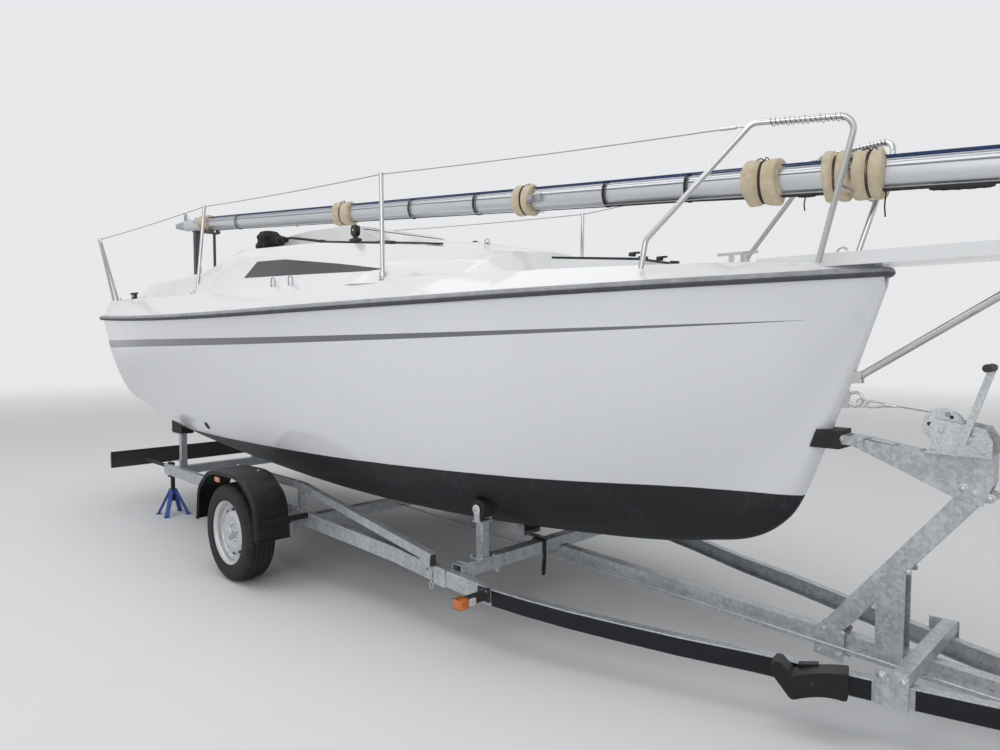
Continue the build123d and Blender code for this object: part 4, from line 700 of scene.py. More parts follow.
class Coat(Enum):
    """The finishes of this boat and trailer."""

    HULL = HullPaint("hull_paint")
    DECK = Gelcoat("deck_gelcoat")
    GRIP = Gelcoat("deck_non_slip", (0.74, 0.75, 0.76), 0.5)
    LINER = Gelcoat("cabin_liner_gelcoat", (0.7, 0.7, 0.68))
    STRAKE = Speckled("rubbing_strake_grey")
    GLASS = Acrylic("smoked_acrylic")
    BOARD = Board("varnished_board")
    STEEL = Stainless("polished_stainless")
    WIRE = Braid("stay_wire", (0.42, 0.43, 0.44), (0.55, 0.56, 0.57), 1400.0, 0.9)
    MAST = Anodised("anodised_extrusion")
    CAST = Paint("cast_alloy_grey", (0.42, 0.44, 0.46), 0.38, 0.5, 0.2)
    GREY = Paint("dark_grey_paint", (0.055, 0.06, 0.068), 0.42, 0.0, 0.3)
    FOAM = Foam("cut_foam")
    CLOTH = Cloth("black_cloth")
    BLACK = Plastic("black_plastic")
    GUARD = Plastic("mudguard_plastic", (0.011, 0.011, 0.012), 0.36, 0.45, 520.0)
    TYRE = Rubber("tyre_rubber")
    RUBBER = Rubber("roller_rubber", (0.018, 0.018, 0.02))
    RIM = Paint("rim_silver", (0.6, 0.61, 0.62), 0.3, 0.45, 0.15)
    AMBER = Lens("amber_lens", (0.78, 0.19, 0.008))
    RED = Lens("red_lens", (0.5, 0.01, 0.006))
    CLEAR = Lens("clear_lens", (0.78, 0.8, 0.8))
    BLUE = Paint("jack_blue", (0.018, 0.075, 0.36), 0.33, 0.0, 0.5)
    IRON = Paint("cast_iron", (0.03, 0.03, 0.032), 0.5, 0.3, 0.4)
    ZINC = Galvanised("galvanised_steel")
    BRIGHT = Galvanised("bright_zinc", (0.55, 0.565, 0.575), 200.0, 0.7)
    # Painted shade: the black strip laid on the rails' outer faces.
    RAIL_SHADE = Plastic("rail_painted_shade_black", (0.009, 0.01, 0.013), 0.2, 0.04, 260.0)
    WHITE = Plastic("white_plastic", (0.66, 0.66, 0.64), 0.38, 0.08, 500.0)
    PLATE = Plastic("blank_plate", (0.7, 0.7, 0.68), 0.34, 0.03, 300.0)
    NAVY = Braid("navy_rope")
    TWINE = Braid("yellow_twine", (0.55, 0.36, 0.1), (0.7, 0.5, 0.2), 1500.0)
    ROPE = Braid("dark_rope", (0.03, 0.024, 0.02), (0.16, 0.12, 0.08))


# The mesh side: arrays of points and faces that become pieces.


class Shape:
    """Points and faces that grow part by part and become one piece."""

    def __init__(self) -> None:
        """Starts empty."""
        self.points: list[np.ndarray] = []
        self.faces: list[np.ndarray] = []
        self.total = 0

    def add(self, points: np.ndarray, faces: Sequence[np.ndarray]) -> Shape:
        """Adds points and the faces on them.

        Args:
            points: An array of points, three numbers each.
            faces: Arrays of corner numbers, one row a face.

        Returns:
            The shape itself.
        """
        points = np.asarray(points, float).reshape(-1, 3)
        self.points.append(points)
        self.faces.extend(np.atleast_2d(rows) + self.total for rows in faces)
        self.total += len(points)
        return self

    def grid(self, points: np.ndarray, rings: bool = False, closed: bool = False, caps: bool = False) -> Shape:
        """Adds a surface whose points stand in rows.

        Args:
            points: Array of rows by columns by three.
            rings: Whether each row closes on itself.
            closed: Whether the last row meets the first.
            caps: Whether the first and last rows are filled.

        Returns:
            The shape itself.
        """
        rows, columns = points.shape[:2]
        index = np.arange(rows * columns).reshape(rows, columns)
        if closed:
            index = np.vstack([index, index[:1]])
        if rings:
            index = np.hstack([index, index[:, :1]])
        quads = np.stack([index[:-1, :-1], index[:-1, 1:], index[1:, 1:], index[1:, :-1]], -1).reshape(-1, 4)
        faces = [quads]
        if caps:
            faces += [index[:1, :columns][:, ::-1], index[-1:, :columns]]
        return self.add(points, faces)

    def swept(self, path: np.ndarray, profile: np.ndarray, up: Point, scale: np.ndarray | float = 1.0,
              closed: bool = False) -> Shape:
        """Adds a closed profile carried along a path.

        Each point of the path gets a frame: its tangent, the side that stands square on the tangent and on
        up, and the third direction square on both. The profile's two numbers are measured along the last two.

        Args:
            path: Points of the path.
            profile: Closed outline, two numbers a point.
            up: A direction that the path never runs along.
            scale: Size of the profile, one number, one for each point, or one for each point and corner.
            closed: Whether the path meets its own start.

        Returns:
            The shape itself.
        """
        path = np.asarray(path, float)
        if closed:
            tangent = np.roll(path, -1, 0) - np.roll(path, 1, 0)
        else:
            tangent = np.gradient(path, axis=0)
        tangent /= np.linalg.norm(tangent, axis=1, keepdims=True)
        side = np.cross(np.asarray(up, float), tangent)
        side /= np.linalg.norm(side, axis=1, keepdims=True)
        lift = np.cross(tangent, side)
        size = np.asarray(scale, float)
        size = size[:, :, None] if size.ndim == 2 else np.broadcast_to(size, len(path)).reshape(-1, 1, 1)
        profile = np.asarray(profile, float)
        offset = side[:, None] * profile[None, :, :1] + lift[:, None] * profile[None, :, 1:]
        return self.grid(path[:, None] + offset * size, rings=True, closed=closed, caps=not closed)

    def tube(self, path: np.ndarray, radius: float | np.ndarray, up: Point = UP, sides: int = 12,
             closed: bool = False) -> Shape:
        """Adds a round tube along a path.

        Args:
            path: Points of the path.
            radius: Radius, one number or one for each point.
            up: A direction that the path never runs along.
            sides: Number of flats round the tube.
            closed: Whether the path meets its own start.

        Returns:
            The shape itself.
        """
        return self.swept(path, circle(sides), up, radius, closed)

    def lathe(self, centre: Point, axis: Point, profile: Sequence[tuple[float, float]], sides: int = 24) -> Shape:
        """Adds a profile turned about an axis.

        A profile point gives its distance along the axis and its radius, and the surface is that point
        carried round a circle.

        Args:
            centre: Where the axis starts.
            axis: Direction of the axis.
            profile: Distance along the axis and radius of each point.
            sides: Number of steps round the axis.

        Returns:
            The shape itself.
        """
        axis = np.array(axis, float)
        axis /= np.linalg.norm(axis)
        seed = np.array(UP if abs(axis[2]) < 0.9 else AHEAD)
        side = np.cross(axis, seed)
        side /= np.linalg.norm(side)
        lift = np.cross(axis, side)
        angle = np.linspace(0.0, math.tau, sides, endpoint=False)
        ring = np.cos(angle)[:, None] * side + np.sin(angle)[:, None] * lift
        rows = np.asarray(profile, float)
        points = np.asarray(centre, float) + rows[:, None, :1] * axis + rows[:, None, 1:] * ring[None]
        return self.grid(points, rings=True, caps=True)

    def slab(self, outline: np.ndarray, start: Point, along: Point, across: Point, thick: float) -> Shape:
        """Adds a flat outline with a thickness.

        Args:
            outline: Two numbers a point, measured along the two directions.
            start: Where the outline's zero lies.
            along: Direction of the first number.
            across: Direction of the second number.
            thick: Thickness, square on both directions.

        Returns:
            The shape itself.
        """
        along = np.asarray(along, float) / np.linalg.norm(along)
        across = np.asarray(across, float) / np.linalg.norm(across)
        out = np.cross(along, across)
        flat = np.asarray(outline, float)
        face = np.asarray(start, float) + flat[:, :1] * along + flat[:, 1:] * across
        return self.grid(np.stack([face, face + out * thick]), rings=True, caps=True)

    def pillow(self, centre: Point, half: Point, power: float = 0.35, steps: int = 20) -> Shape:
        """Adds a rounded box.

        It is the surface x = a C(u) C(v), y = b C(u) S(v), z = c S(u), where C and S are the cosine and sine
        raised to a power below one that keeps their sign, so that the corners stay round and the sides flat.

        Args:
            centre: Its middle.
            half: Half its size along each axis.
            power: Roundness, one for an ellipsoid, near zero for a box.
            steps: Number of rows.

        Returns:
            The shape itself.
        """
        up = np.linspace(-math.pi / 2, math.pi / 2, steps)[:, None]
        turn = np.linspace(0.0, math.tau, steps * 2, endpoint=False)[None, :]
        bend = [np.sign(f) * np.abs(f) ** power for f in (np.cos(up), np.sin(up), np.cos(turn), np.sin(turn))]
        points = xyz(bend[0] * bend[2], bend[0] * bend[3], bend[1])
        return self.grid(points * np.asarray(half) + np.asarray(centre), rings=True, caps=True)

    def dome(self, centre: Point, axis: Point, size: float) -> Shape:
        """Adds a round-headed bolt on a washer.

        Args:
            centre: Where the washer lies.
            axis: The way that the head looks.
            size: Thread diameter.

        Returns:
            The shape itself.
        """
        rim, head = size * 1.5, size * 1.05
        rows = [(0.0, rim), (size * 0.14, rim), (size * 0.2, rim * 0.94), (size * 0.2, head)]
        rows += [(size * (0.2 + 0.62 * math.sin(a)), head * math.cos(a)) for a in np.linspace(0.15, 1.45, 6)]
        return self.lathe(centre, axis, rows, 24)

    def block(self, low: Point, high: Point) -> Shape:
        """Adds a box between two corners."""
        outline = np.array([(low[0], low[1]), (high[0], low[1]), (high[0], high[1]), (low[0], high[1])])
        return self.slab(outline, (0.0, 0.0, low[2]), AHEAD, PORT, high[2] - low[2])

    def bolt(self, centre: Point, axis: Point, size: float, washer: bool = True, stub: float = 0.0) -> Shape:
        """Adds a hexagon head or nut, with a washer under it and a thread end if wanted.

        Args:
            centre: Where the washer lies.
            axis: The way that the head looks.
            size: Thread diameter.
            washer: Whether there is a washer.
            stub: Length of thread that stands out of the nut.

        Returns:
            The shape itself.
        """
        if washer:
            rim = size * 1.15
            self.lathe(centre, axis, [(0.0, rim), (size * 0.12, rim), (size * 0.16, rim * 0.95)], 20)
        base = size * 0.14 if washer else 0.0
        flat = size * 0.92
        rows = [(base, flat), (base + size * 0.55, flat), (base + size * 0.68, flat * 0.86)]
        self.lathe(centre, axis, rows, 6)
        if stub > 0.0:
            top = base + size * 0.6
            self.lathe(centre, axis, [(top, size * 0.5), (top + stub, size * 0.5), (top + stub * 1.1, size * 0.4)], 12)
        return self

    def mirrored(self) -> Shape:
        """The same shape and its image on the other side, as one."""
        points = np.concatenate(self.points) * np.array([1.0, -1.0, 1.0])
        return self.add(points, [rows[:, ::-1] for rows in list(self.faces)])

    def mesh(self, name: str) -> bpy.types.Mesh:
        """Puts the shape into a new mesh.

        Args:
            name: Name of the mesh.

        Returns:
            The mesh.
        """
        mesh = bpy.data.meshes.new(name)
        faces = [tuple(row) for rows in self.faces for row in rows.tolist()]
        mesh.from_pydata(np.concatenate(self.points).tolist(), [], faces)
        return mesh

    def piece(self, name: str, coat: Coat, slot: str, body: str = HEEL, smooth: float = 60.0,
              bevel: float = 0.0) -> bpy.types.Object:
        """Makes the shape a piece of the object.

        Args:
            name: Name of the piece.
            coat: Its finish.
            slot: The record's slot that the finish belongs to; not used.
            body: The body that it rides on.
            smooth: Edges flatter than this many degrees are shaded smooth.
            bevel: Width of the softened edges.

        Returns:
            The piece.
        """
        return finished(self.mesh(name), name, coat, body, smooth, bevel, True)


def circle(sides: int) -> np.ndarray:
    """Points round a circle of radius one."""
    angle = np.linspace(0.0, math.tau, sides, endpoint=False)
    return np.stack([np.cos(angle), np.sin(angle)], 1)


def finished(mesh: bpy.types.Mesh, name: str, coat: Coat, body: str, smooth: float, bevel: float,
             outward: bool) -> bpy.types.Object:
    """Merges, shades, bevels and dresses a mesh, and lets it ride.

    Args:
        mesh: The mesh, in its place.
        name: Name of the piece.
        coat: Its finish.
        body: The body that it rides on.
        smooth: Edges flatter than this many degrees are shaded smooth.
        bevel: Width of the softened edges.
        outward: Whether the faces still have to be turned outward.

    Returns:
        The piece.
    """
    work = bmesh.new()
    work.from_mesh(mesh)
    bmesh.ops.remove_doubles(work, verts=work.verts, dist=0.00002)
    if outward:
        bmesh.ops.recalc_face_normals(work, faces=work.faces)
    else:
        bmesh.ops.dissolve_limit(work, angle_limit=math.radians(0.4), verts=work.verts, edges=work.edges)
    work.to_mesh(mesh)
    work.free()
    mesh.polygons.foreach_set("use_smooth", [True] * len(mesh.polygons))
    mesh.set_sharp_from_angle(angle=math.radians(smooth))
    piece = bpy.data.objects.new(name, mesh)
    bpy.context.scene.collection.objects.link(piece)
    mesh.materials.append(coat.value.material())
    if bevel > 0.0:
        edges = piece.modifiers.new("soft_edges", "BEVEL")
        edges.width = bevel
        edges.segments = 2
        edges.limit_method = "ANGLE"
        edges.angle_limit = math.radians(smooth)
        edges.harden_normals = True
    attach(piece, body)
    return piece


@dataclass
class Studio:
    """Camera at the photograph's angle, pale floor and soft light."""

    eye: Point = (3.834, -3.262, 1.53)
    bearing: float = 44.6
    dip: float = 2.8
    lens: float = 25.92
    pale: Colour = (0.8, 0.81, 0.82)
    world_light: float = 0.58
    sky_tones: Sequence[tuple[float, Colour]] = (
        (0.0, (0.42, 0.42, 0.43)), (0.5, (0.72, 0.74, 0.77)), (1.0, (1.0, 1.0, 1.0)))

    def build(self) -> None:
        """Adds all of it."""
        self.camera()
        self.floor()
        self.light()

    def camera(self) -> None:
        """Sets the camera level with a small dip, looking aft along the starboard side."""
        data = bpy.data.cameras.new("camera")
        data.lens = self.lens
        data.sensor_width = 36.0
        data.clip_end = 400.0
        view = bpy.data.objects.new("camera", data)
        view.location = self.eye
        view.rotation_euler = (math.radians(90.0 - self.dip), 0.0, math.radians(self.bearing))
        bpy.context.scene.collection.objects.link(view)
        bpy.context.scene.camera = view

    def floor(self) -> None:
        """Lays a pale disc that fades into the backdrop with distance."""
        angle = np.linspace(0.0, math.tau, 96, endpoint=False)
        reach = np.array([0.0, 3.0, 7.0, 14.0, 40.0, 150.0])
        points = xyz(reach[:, None] * np.cos(angle), reach[:, None] * np.sin(angle), 0.0)
        mesh = Shape().grid(points, rings=True).mesh("studio_floor")
        recipe = Recipe("studio_floor")
        grain = recipe.noise(2.0, 3.0)
        recipe.set(Base_Color=recipe.tint(grain, self.pale, toned(self.pale, 0.97)), Roughness=0.9)
        x, y, _ = recipe.axes()
        far = ((x * x + y * y) ** 0.5).rise(7.0, 26.0)
        plain = recipe.node("ShaderNodeEmission", None, {"Color": self.pale, "Strength": 1.0})
        solid = Wire(recipe, recipe.body.outputs[0])
        both = recipe.node("ShaderNodeMixShader", None, {0: far, 1: solid, 2: plain})
        recipe.feed(recipe.out.inputs[0], both)
        mesh.materials.append(recipe.material)
        floor = bpy.data.objects.new("studio_floor", mesh)
        bpy.context.scene.collection.objects.link(floor)

    def light(self) -> None:
        """An overcast sky, brighter overhead, and two wide soft lamps."""
        bpy.context.scene.view_settings.view_transform = "Standard"
        world = bpy.data.worlds.new("overcast")
        bpy.context.scene.world = world
        world.use_nodes = True
        sky = Nodes(world.node_tree, "ShaderNodeOutputWorld")
        place = sky.node("ShaderNodeTexCoord", out="Generated")
        height = sky.node("ShaderNodeSeparateXYZ", None, {0: place}, 2)
        share = sky.node("ShaderNodeMapRange", None, {0: height, 1: -1.0})
        dome = sky.node("ShaderNodeValToRGB", {"stops": self.sky_tones}, {0: share})
        lit = sky.node("ShaderNodeBackground", None, {0: dome, 1: self.world_light})
        seen = sky.node("ShaderNodeBackground", None, {0: self.pale, 1: 1.0})
        rays = [sky.node("ShaderNodeLightPath", out=kind)
                for kind in ("Is Camera Ray", "Is Glossy Ray", "Is Transmission Ray")]
        plain = rays[0].high(rays[1]).high(rays[2])
        sky.feed(sky.out.inputs[0], sky.node("ShaderNodeMixShader", None, {0: plain, 1: lit, 2: seen}))
        self.lamp("overhead", (-1.0, -2.0, 9.0), (0.0, 0.0, 1.2), 9.0, 300.0)
        self.lamp("side_fill", (5.0, -9.0, 4.5), (0.0, -0.5, 1.0), 6.0, 190.0)

    def lamp(self, name: str, spot: Point, aim: Point, size: float, power: float) -> None:
        """Adds one square area lamp.

        Args:
            name: Name of the lamp.
            spot: Where it hangs.
            aim: What it looks at.
            size: Length of its side.
            power: Watts.
        """
        data = bpy.data.lights.new(name, "AREA")
        data.size = size
        data.energy = power
        lamp = bpy.data.objects.new(name, data)
        lamp.location = spot
        toward = (Vector(aim) - Vector(spot)).to_track_quat("-Z", "Y")
        lamp.rotation_euler = toward.to_euler()
        bpy.context.scene.collection.objects.link(lamp)


def softened(node: str, coat: Coat, body: str, bevel: float, smooth: float = 32.0) -> bpy.types.Object:
    """Stands a merged copy of a node, with softened edges, in the node's place.

    Args:
        node: The node's name.
        coat: Its finish.
        body: The body that it rides on.
        bevel: Width of the softened edges.
        smooth: Edges flatter than this many degrees are shaded smooth.

    Returns:
        The piece.
    """
    mesh = bpy.data.objects[node].data.copy()
    mesh.materials.clear()
    piece = finished(mesh, node + "_skin", coat, body, smooth, bevel, False)
    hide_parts(node)
    return piece


def recoat(piece: bpy.types.Object, boxes: Sequence[tuple[Coat, Point, Point]]) -> None:
    """Gives the faces whose middle lies in a box another finish.

    Args:
        piece: The piece.
        boxes: Finish, low corner and high corner of each box; sideways distances count on both sides.
    """
    mesh = piece.data
    middle = np.empty(len(mesh.polygons) * 3)
    mesh.polygons.foreach_get("center", middle)
    middle = middle.reshape(-1, 3)
    middle[:, 1] = np.abs(middle[:, 1])
    chosen = np.zeros(len(middle), int)
    for coat, low, high in boxes:
        mesh.materials.append(coat.value.material())
        inside = np.all((middle >= np.asarray(low)) & (middle <= np.asarray(high)), axis=1)
        chosen[inside] = len(mesh.materials) - 1
    mesh.polygons.foreach_set("material_index", chosen)


@dataclass
class Carried:
    """The nodes whose shape is right, each with its finish and the width of its softened edges."""

    groups: list[tuple[Coat, str, dict[str, float]]] = field(default_factory=lambda: [
        (Coat.DECK, "gelcoat", {"deck": 0.012, "forehatch_frame": 0.003, "bowsprit": 0.006}),
        (Coat.LINER, "liner", {"cabin_liner": 0.006}),
        (Coat.BOARD, "board", {"washboard": 0.002}),
        (Coat.GLASS, "tinted_glass", {"companionway_hatch": 0.002, "forehatch_lid": 0.002, "cabin_windows": 0.0015}),
        (Coat.STEEL, "stainless", {"bobstay_strut": 0.0, "stem_fittings": 0.0, "pulpit": 0.0, "stanchions": 0.0,
            "pushpit": 0.0, "deck_eyes_and_cleats": 0.0012}),
        (Coat.MAST, "anodised", {"mast": 0.0}),
        (Coat.CAST, "cast_alloy", {"mast_fittings": 0.0015}),
        (Coat.GREY, "grey_paint", {"mast_crutch": 0.002}),
        (Coat.ZINC, "galvanised", {"side_rails": 0.003, "centre_beam": 0.004, "front_crossmember": 0.004,
            "rear_crossmember": 0.004, "nose_crossmember": 0.003, "stiffening_bars": 0.003, "axle_tube": 0.004,
            "frame_brackets": 0.0015, "swing_arms": 0.003, "roller_brackets": 0.002, "winch_post": 0.003,
            "winch_arm": 0.003, "overrun_housing": 0.002, "handbrake_lever": 0.002, "jockey_tube": 0.0015,
            "jockey_fork": 0.001}),
        (Coat.BRIGHT, "galvanised", {"winch_frame": 0.0015, "winch_drum": 0.0008, "winch_crank": 0.001,
            "brake_rod": 0.001, "jockey_inner_tube": 0.001}),
        (Coat.CAST, "galvanised", {"coupling_head": 0.002}),
        (Coat.RUBBER, "rubber", {"jockey_wheel": 0.0, "hull_rollers": 0.003, "rear_pads": 0.004, "bow_stop": 0.006}),
        (Coat.BLUE, "blue_paint", {"jack_stand": 0.0015}),
        (Coat.IRON, "cast_iron", {"jack_stand_post": 0.0008}),
        (Coat.BLACK, "black_plastic", {"light_board": 0.003}),
        (Coat.BLACK, "lamp_plastic", {"lamps": 0.003}),
    ])
    bodies: dict[str, str] = field(default_factory=lambda: {
        "companionway_hatch": "sliding_hatch", "forehatch_lid": "forehatch", "winch_drum": "winch_drum",
        "winch_crank": "winch_crank", "jockey_inner_tube": "jockey_inner_tube", "jockey_fork": "jockey_fork",
        "jockey_wheel": "jockey_wheel"})
    places: dict[str, list[tuple[Coat, Point, Point]]] = field(default_factory=lambda: {
        "deck": [(Coat.GRIP, (-3.36, 0.0, 1.2), (-1.78, 0.61, 1.86))],
        "frame_brackets": [(Coat.GUARD, (-1.01, 0.98, 0.4), (-0.95, 1.3, 0.47)),
                           (Coat.GUARD, (-0.16, 0.98, 0.4), (-0.1, 1.3, 0.47))],
        "lamps": [(Coat.PLATE, (-3.45, 0.0, 0.34), (-3.43, 0.27, 0.48))],
        "deck_eyes_and_cleats": [(Coat.BLACK, (-3.26, 0.8, 1.8), (-3.08, 1.0, 2.0)),
                                 (Coat.CAST, (-0.51, 0.96, 1.8), (-0.21, 0.99, 2.0))],
        "overrun_housing": [(Coat.RUBBER, (4.218, 0.0, 0.2), (4.292, 0.2, 0.4))],
        "handbrake_lever": [(Coat.BLACK, (3.8, 0.0, 0.52), (4.0, 0.2, 0.7))],
        "winch_crank": [(Coat.BLACK, (3.2, 0.098, 1.4), (3.4, 0.21, 1.47))],
    })

    def build(self) -> None:
        """Dresses the nodes group by group."""
        for coat, slot, nodes in self.groups:
            for node, bevel in nodes.items():
                piece = softened(node, coat, self.bodies.get(node, HEEL), bevel)
                if node in self.places:
                    recoat(piece, self.places[node])
            LOG.info("dressed %s", ", ".join(nodes))


def through(knots: Sequence[float], values: np.ndarray, at: np.ndarray) -> np.ndarray:
    """Smooth curve through given values.

    Between two knots it is a cubic, whose slope at a knot is that of the line through the knot's neighbours.

    Args:
        knots: Places of the values, rising.
        values: One row a knot.
        at: Places where the curve is wanted.

    Returns:
        One row for each of those places.
    """
    knots = np.asarray(knots, float)
    values = np.asarray(values, float)
    shape = (-1,) + (1,) * (values.ndim - 1)
    slope = np.empty_like(values)
    slope[1:-1] = (values[2:] - values[:-2]) / (knots[2:] - knots[:-2]).reshape(shape)
    slope[0] = (values[1] - values[0]) / (knots[1] - knots[0])
    slope[-1] = (values[-1] - values[-2]) / (knots[-1] - knots[-2])
    at = np.asarray(at, float)
    left = np.clip(np.searchsorted(knots, at, side="right") - 1, 0, len(knots) - 2)
    span = (knots[left + 1] - knots[left]).reshape(shape)
    t = (at - knots[left]).reshape(shape) / span
    return ((2 * t**3 - 3 * t**2 + 1) * values[left] + (t**3 - 2 * t**2 + t) * span * slope[left]
            + (3 * t**2 - 2 * t**3) * values[left + 1] + (t**3 - t**2) * span * slope[left + 1])


def curve(points: Sequence[Point], steps: int) -> np.ndarray:
    """Smooth line through a few points.

    Args:
        points: Points on the line.
        steps: Number of points wanted, evenly shared by the line's length.

    Returns:
        Those points.
    """
    points = np.asarray(points, float)
    reach = np.concatenate([[0.0], np.cumsum(np.linalg.norm(np.diff(points, axis=0), axis=1))])
    return through(reach, points, np.linspace(0.0, reach[-1], steps))


def bend(first: Sequence[float], corner: Sequence[float], last: Sequence[float], steps: int) -> np.ndarray:
    """Arc of a parabola, (1 - t)^2 first + 2 t (1 - t) corner + t^2 last.

    Args:
        first: Where it starts.
        corner: Where its two end tangents meet.
        last: Where it ends.
        steps: Number of points wanted.

    Returns:
        Those points.
    """
    t = np.linspace(0.0, 1.0, steps)[:, None]
    return (1 - t) ** 2 * np.asarray(first) + 2 * t * (1 - t) * np.asarray(corner) + t * t * np.asarray(last)


@dataclass
class HullSkin:
    """The hull as one smooth skin through its frames; x is measured from the stem head."""

    frames: Sequence[tuple[float, ...]] = (
        (-6.44, 0.77, 0.8, 1.0, 1.06, 1.735), (-5.3, 0.61, 0.88, 0.86, 1.165, 1.712),
        (-3.9, 0.47, 0.93, 0.78, 1.21, 1.7), (-2.6, 0.415, 0.85, 0.71, 1.15, 1.702),
        (-1.5, 0.45, 0.58, 0.71, 0.89, 1.728), (-0.8, 0.53, 0.27, 0.86, 0.575, 1.765),
        (-0.38, 0.72, 0.12, 1.06, 0.31, 1.79), (-0.16, 1.26, 0.07, 1.42, 0.155, 1.803),
        (0.0, 1.74, 0.022, 1.77, 0.035, 1.812))
    bulge: float = 0.66
    stern: float = -6.41
    rounding: float = 0.03
    wall: float = 0.014

    def frame(self, x: np.ndarray) -> np.ndarray:
        """Nine points across each frame.

        Keel, turn of the lower side, bilge, topside and sheer are read from the faired frames, and the other
        side is their mirror image.

        Args:
            x: Places of the frames.

        Returns:
            Array of nine by frames by two, the distance from the middle and the height.
        """
        table = np.asarray(self.frames)
        keel, bilge_y, bilge_z, sheer_y, sheer_z = through(table[:, 0], table[:, 1:], x).T
        low = np.stack([bilge_y * 0.56, keel + (bilge_z - keel) * 0.3], -1)
        high = np.stack([bilge_y + (sheer_y - bilge_y) * self.bulge, bilge_z + (sheer_z - bilge_z) * 0.47], -1)
        bilge = np.stack([bilge_y, bilge_z], -1)
        sheer = np.stack([sheer_y, sheer_z + 0.012], -1)
        middle = np.stack([keel * 0.0, keel], -1)
        side = [low, bilge, high, sheer]
        flip = np.array([-1.0, 1.0])
        return np.stack([row * flip for row in reversed(side)] + [middle] + side)

    def surface(self, x: np.ndarray, columns: int = 121) -> np.ndarray:
        """Grid of the skin.

        Args:
            x: Places of the rows.
            columns: Number of points across each row.

        Returns:
            Array of rows by columns by three.
        """
        across = through(np.arange(9.0), self.frame(x), np.linspace(0.0, 8.0, columns))
        flat = np.moveaxis(across, 0, 1)
        length = np.broadcast_to(x[:, None, None], flat.shape[:2] + (1,))
        return np.concatenate([length, flat], -1)

    def build(self) -> None:
        """Adds the skin, its transom rounded in along a quarter circle, with the wall inside it."""
        x = np.concatenate([np.linspace(self.stern, -0.9, 90), np.linspace(-0.9, -0.2, 40)[1:],
                            np.linspace(-0.2, 0.0, 36)[1:]])
        body = self.surface(x)
        angle = np.radians(np.linspace(90.0, 0.0, 7))[:-1]
        rows = self.surface(np.full(len(angle), self.stern))
        centre = np.array([self.stern, 0.0, 1.35])
        arm = rows - centre
        arm /= np.linalg.norm(arm, axis=2, keepdims=True)
        rows = rows - arm * (self.rounding * (1.0 - np.cos(angle)))[:, None, None]
        rows[..., 0] = self.stern - (self.rounding * np.sin(angle))[:, None]
        points = np.concatenate([rows, body]) + np.array([STEM, 0.0, 0.0])
        shape = Shape().grid(points)
        edge = np.arange(points.shape[1])
        shape.faces.append(edge[None, ::-1])
        skin = shape.piece("hull_skin", Coat.HULL, "gelcoat", smooth=50.0)
        wall = skin.modifiers.new("wall", "SOLIDIFY")
        wall.thickness = self.wall
        wall.offset = -1.0
        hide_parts("hull")


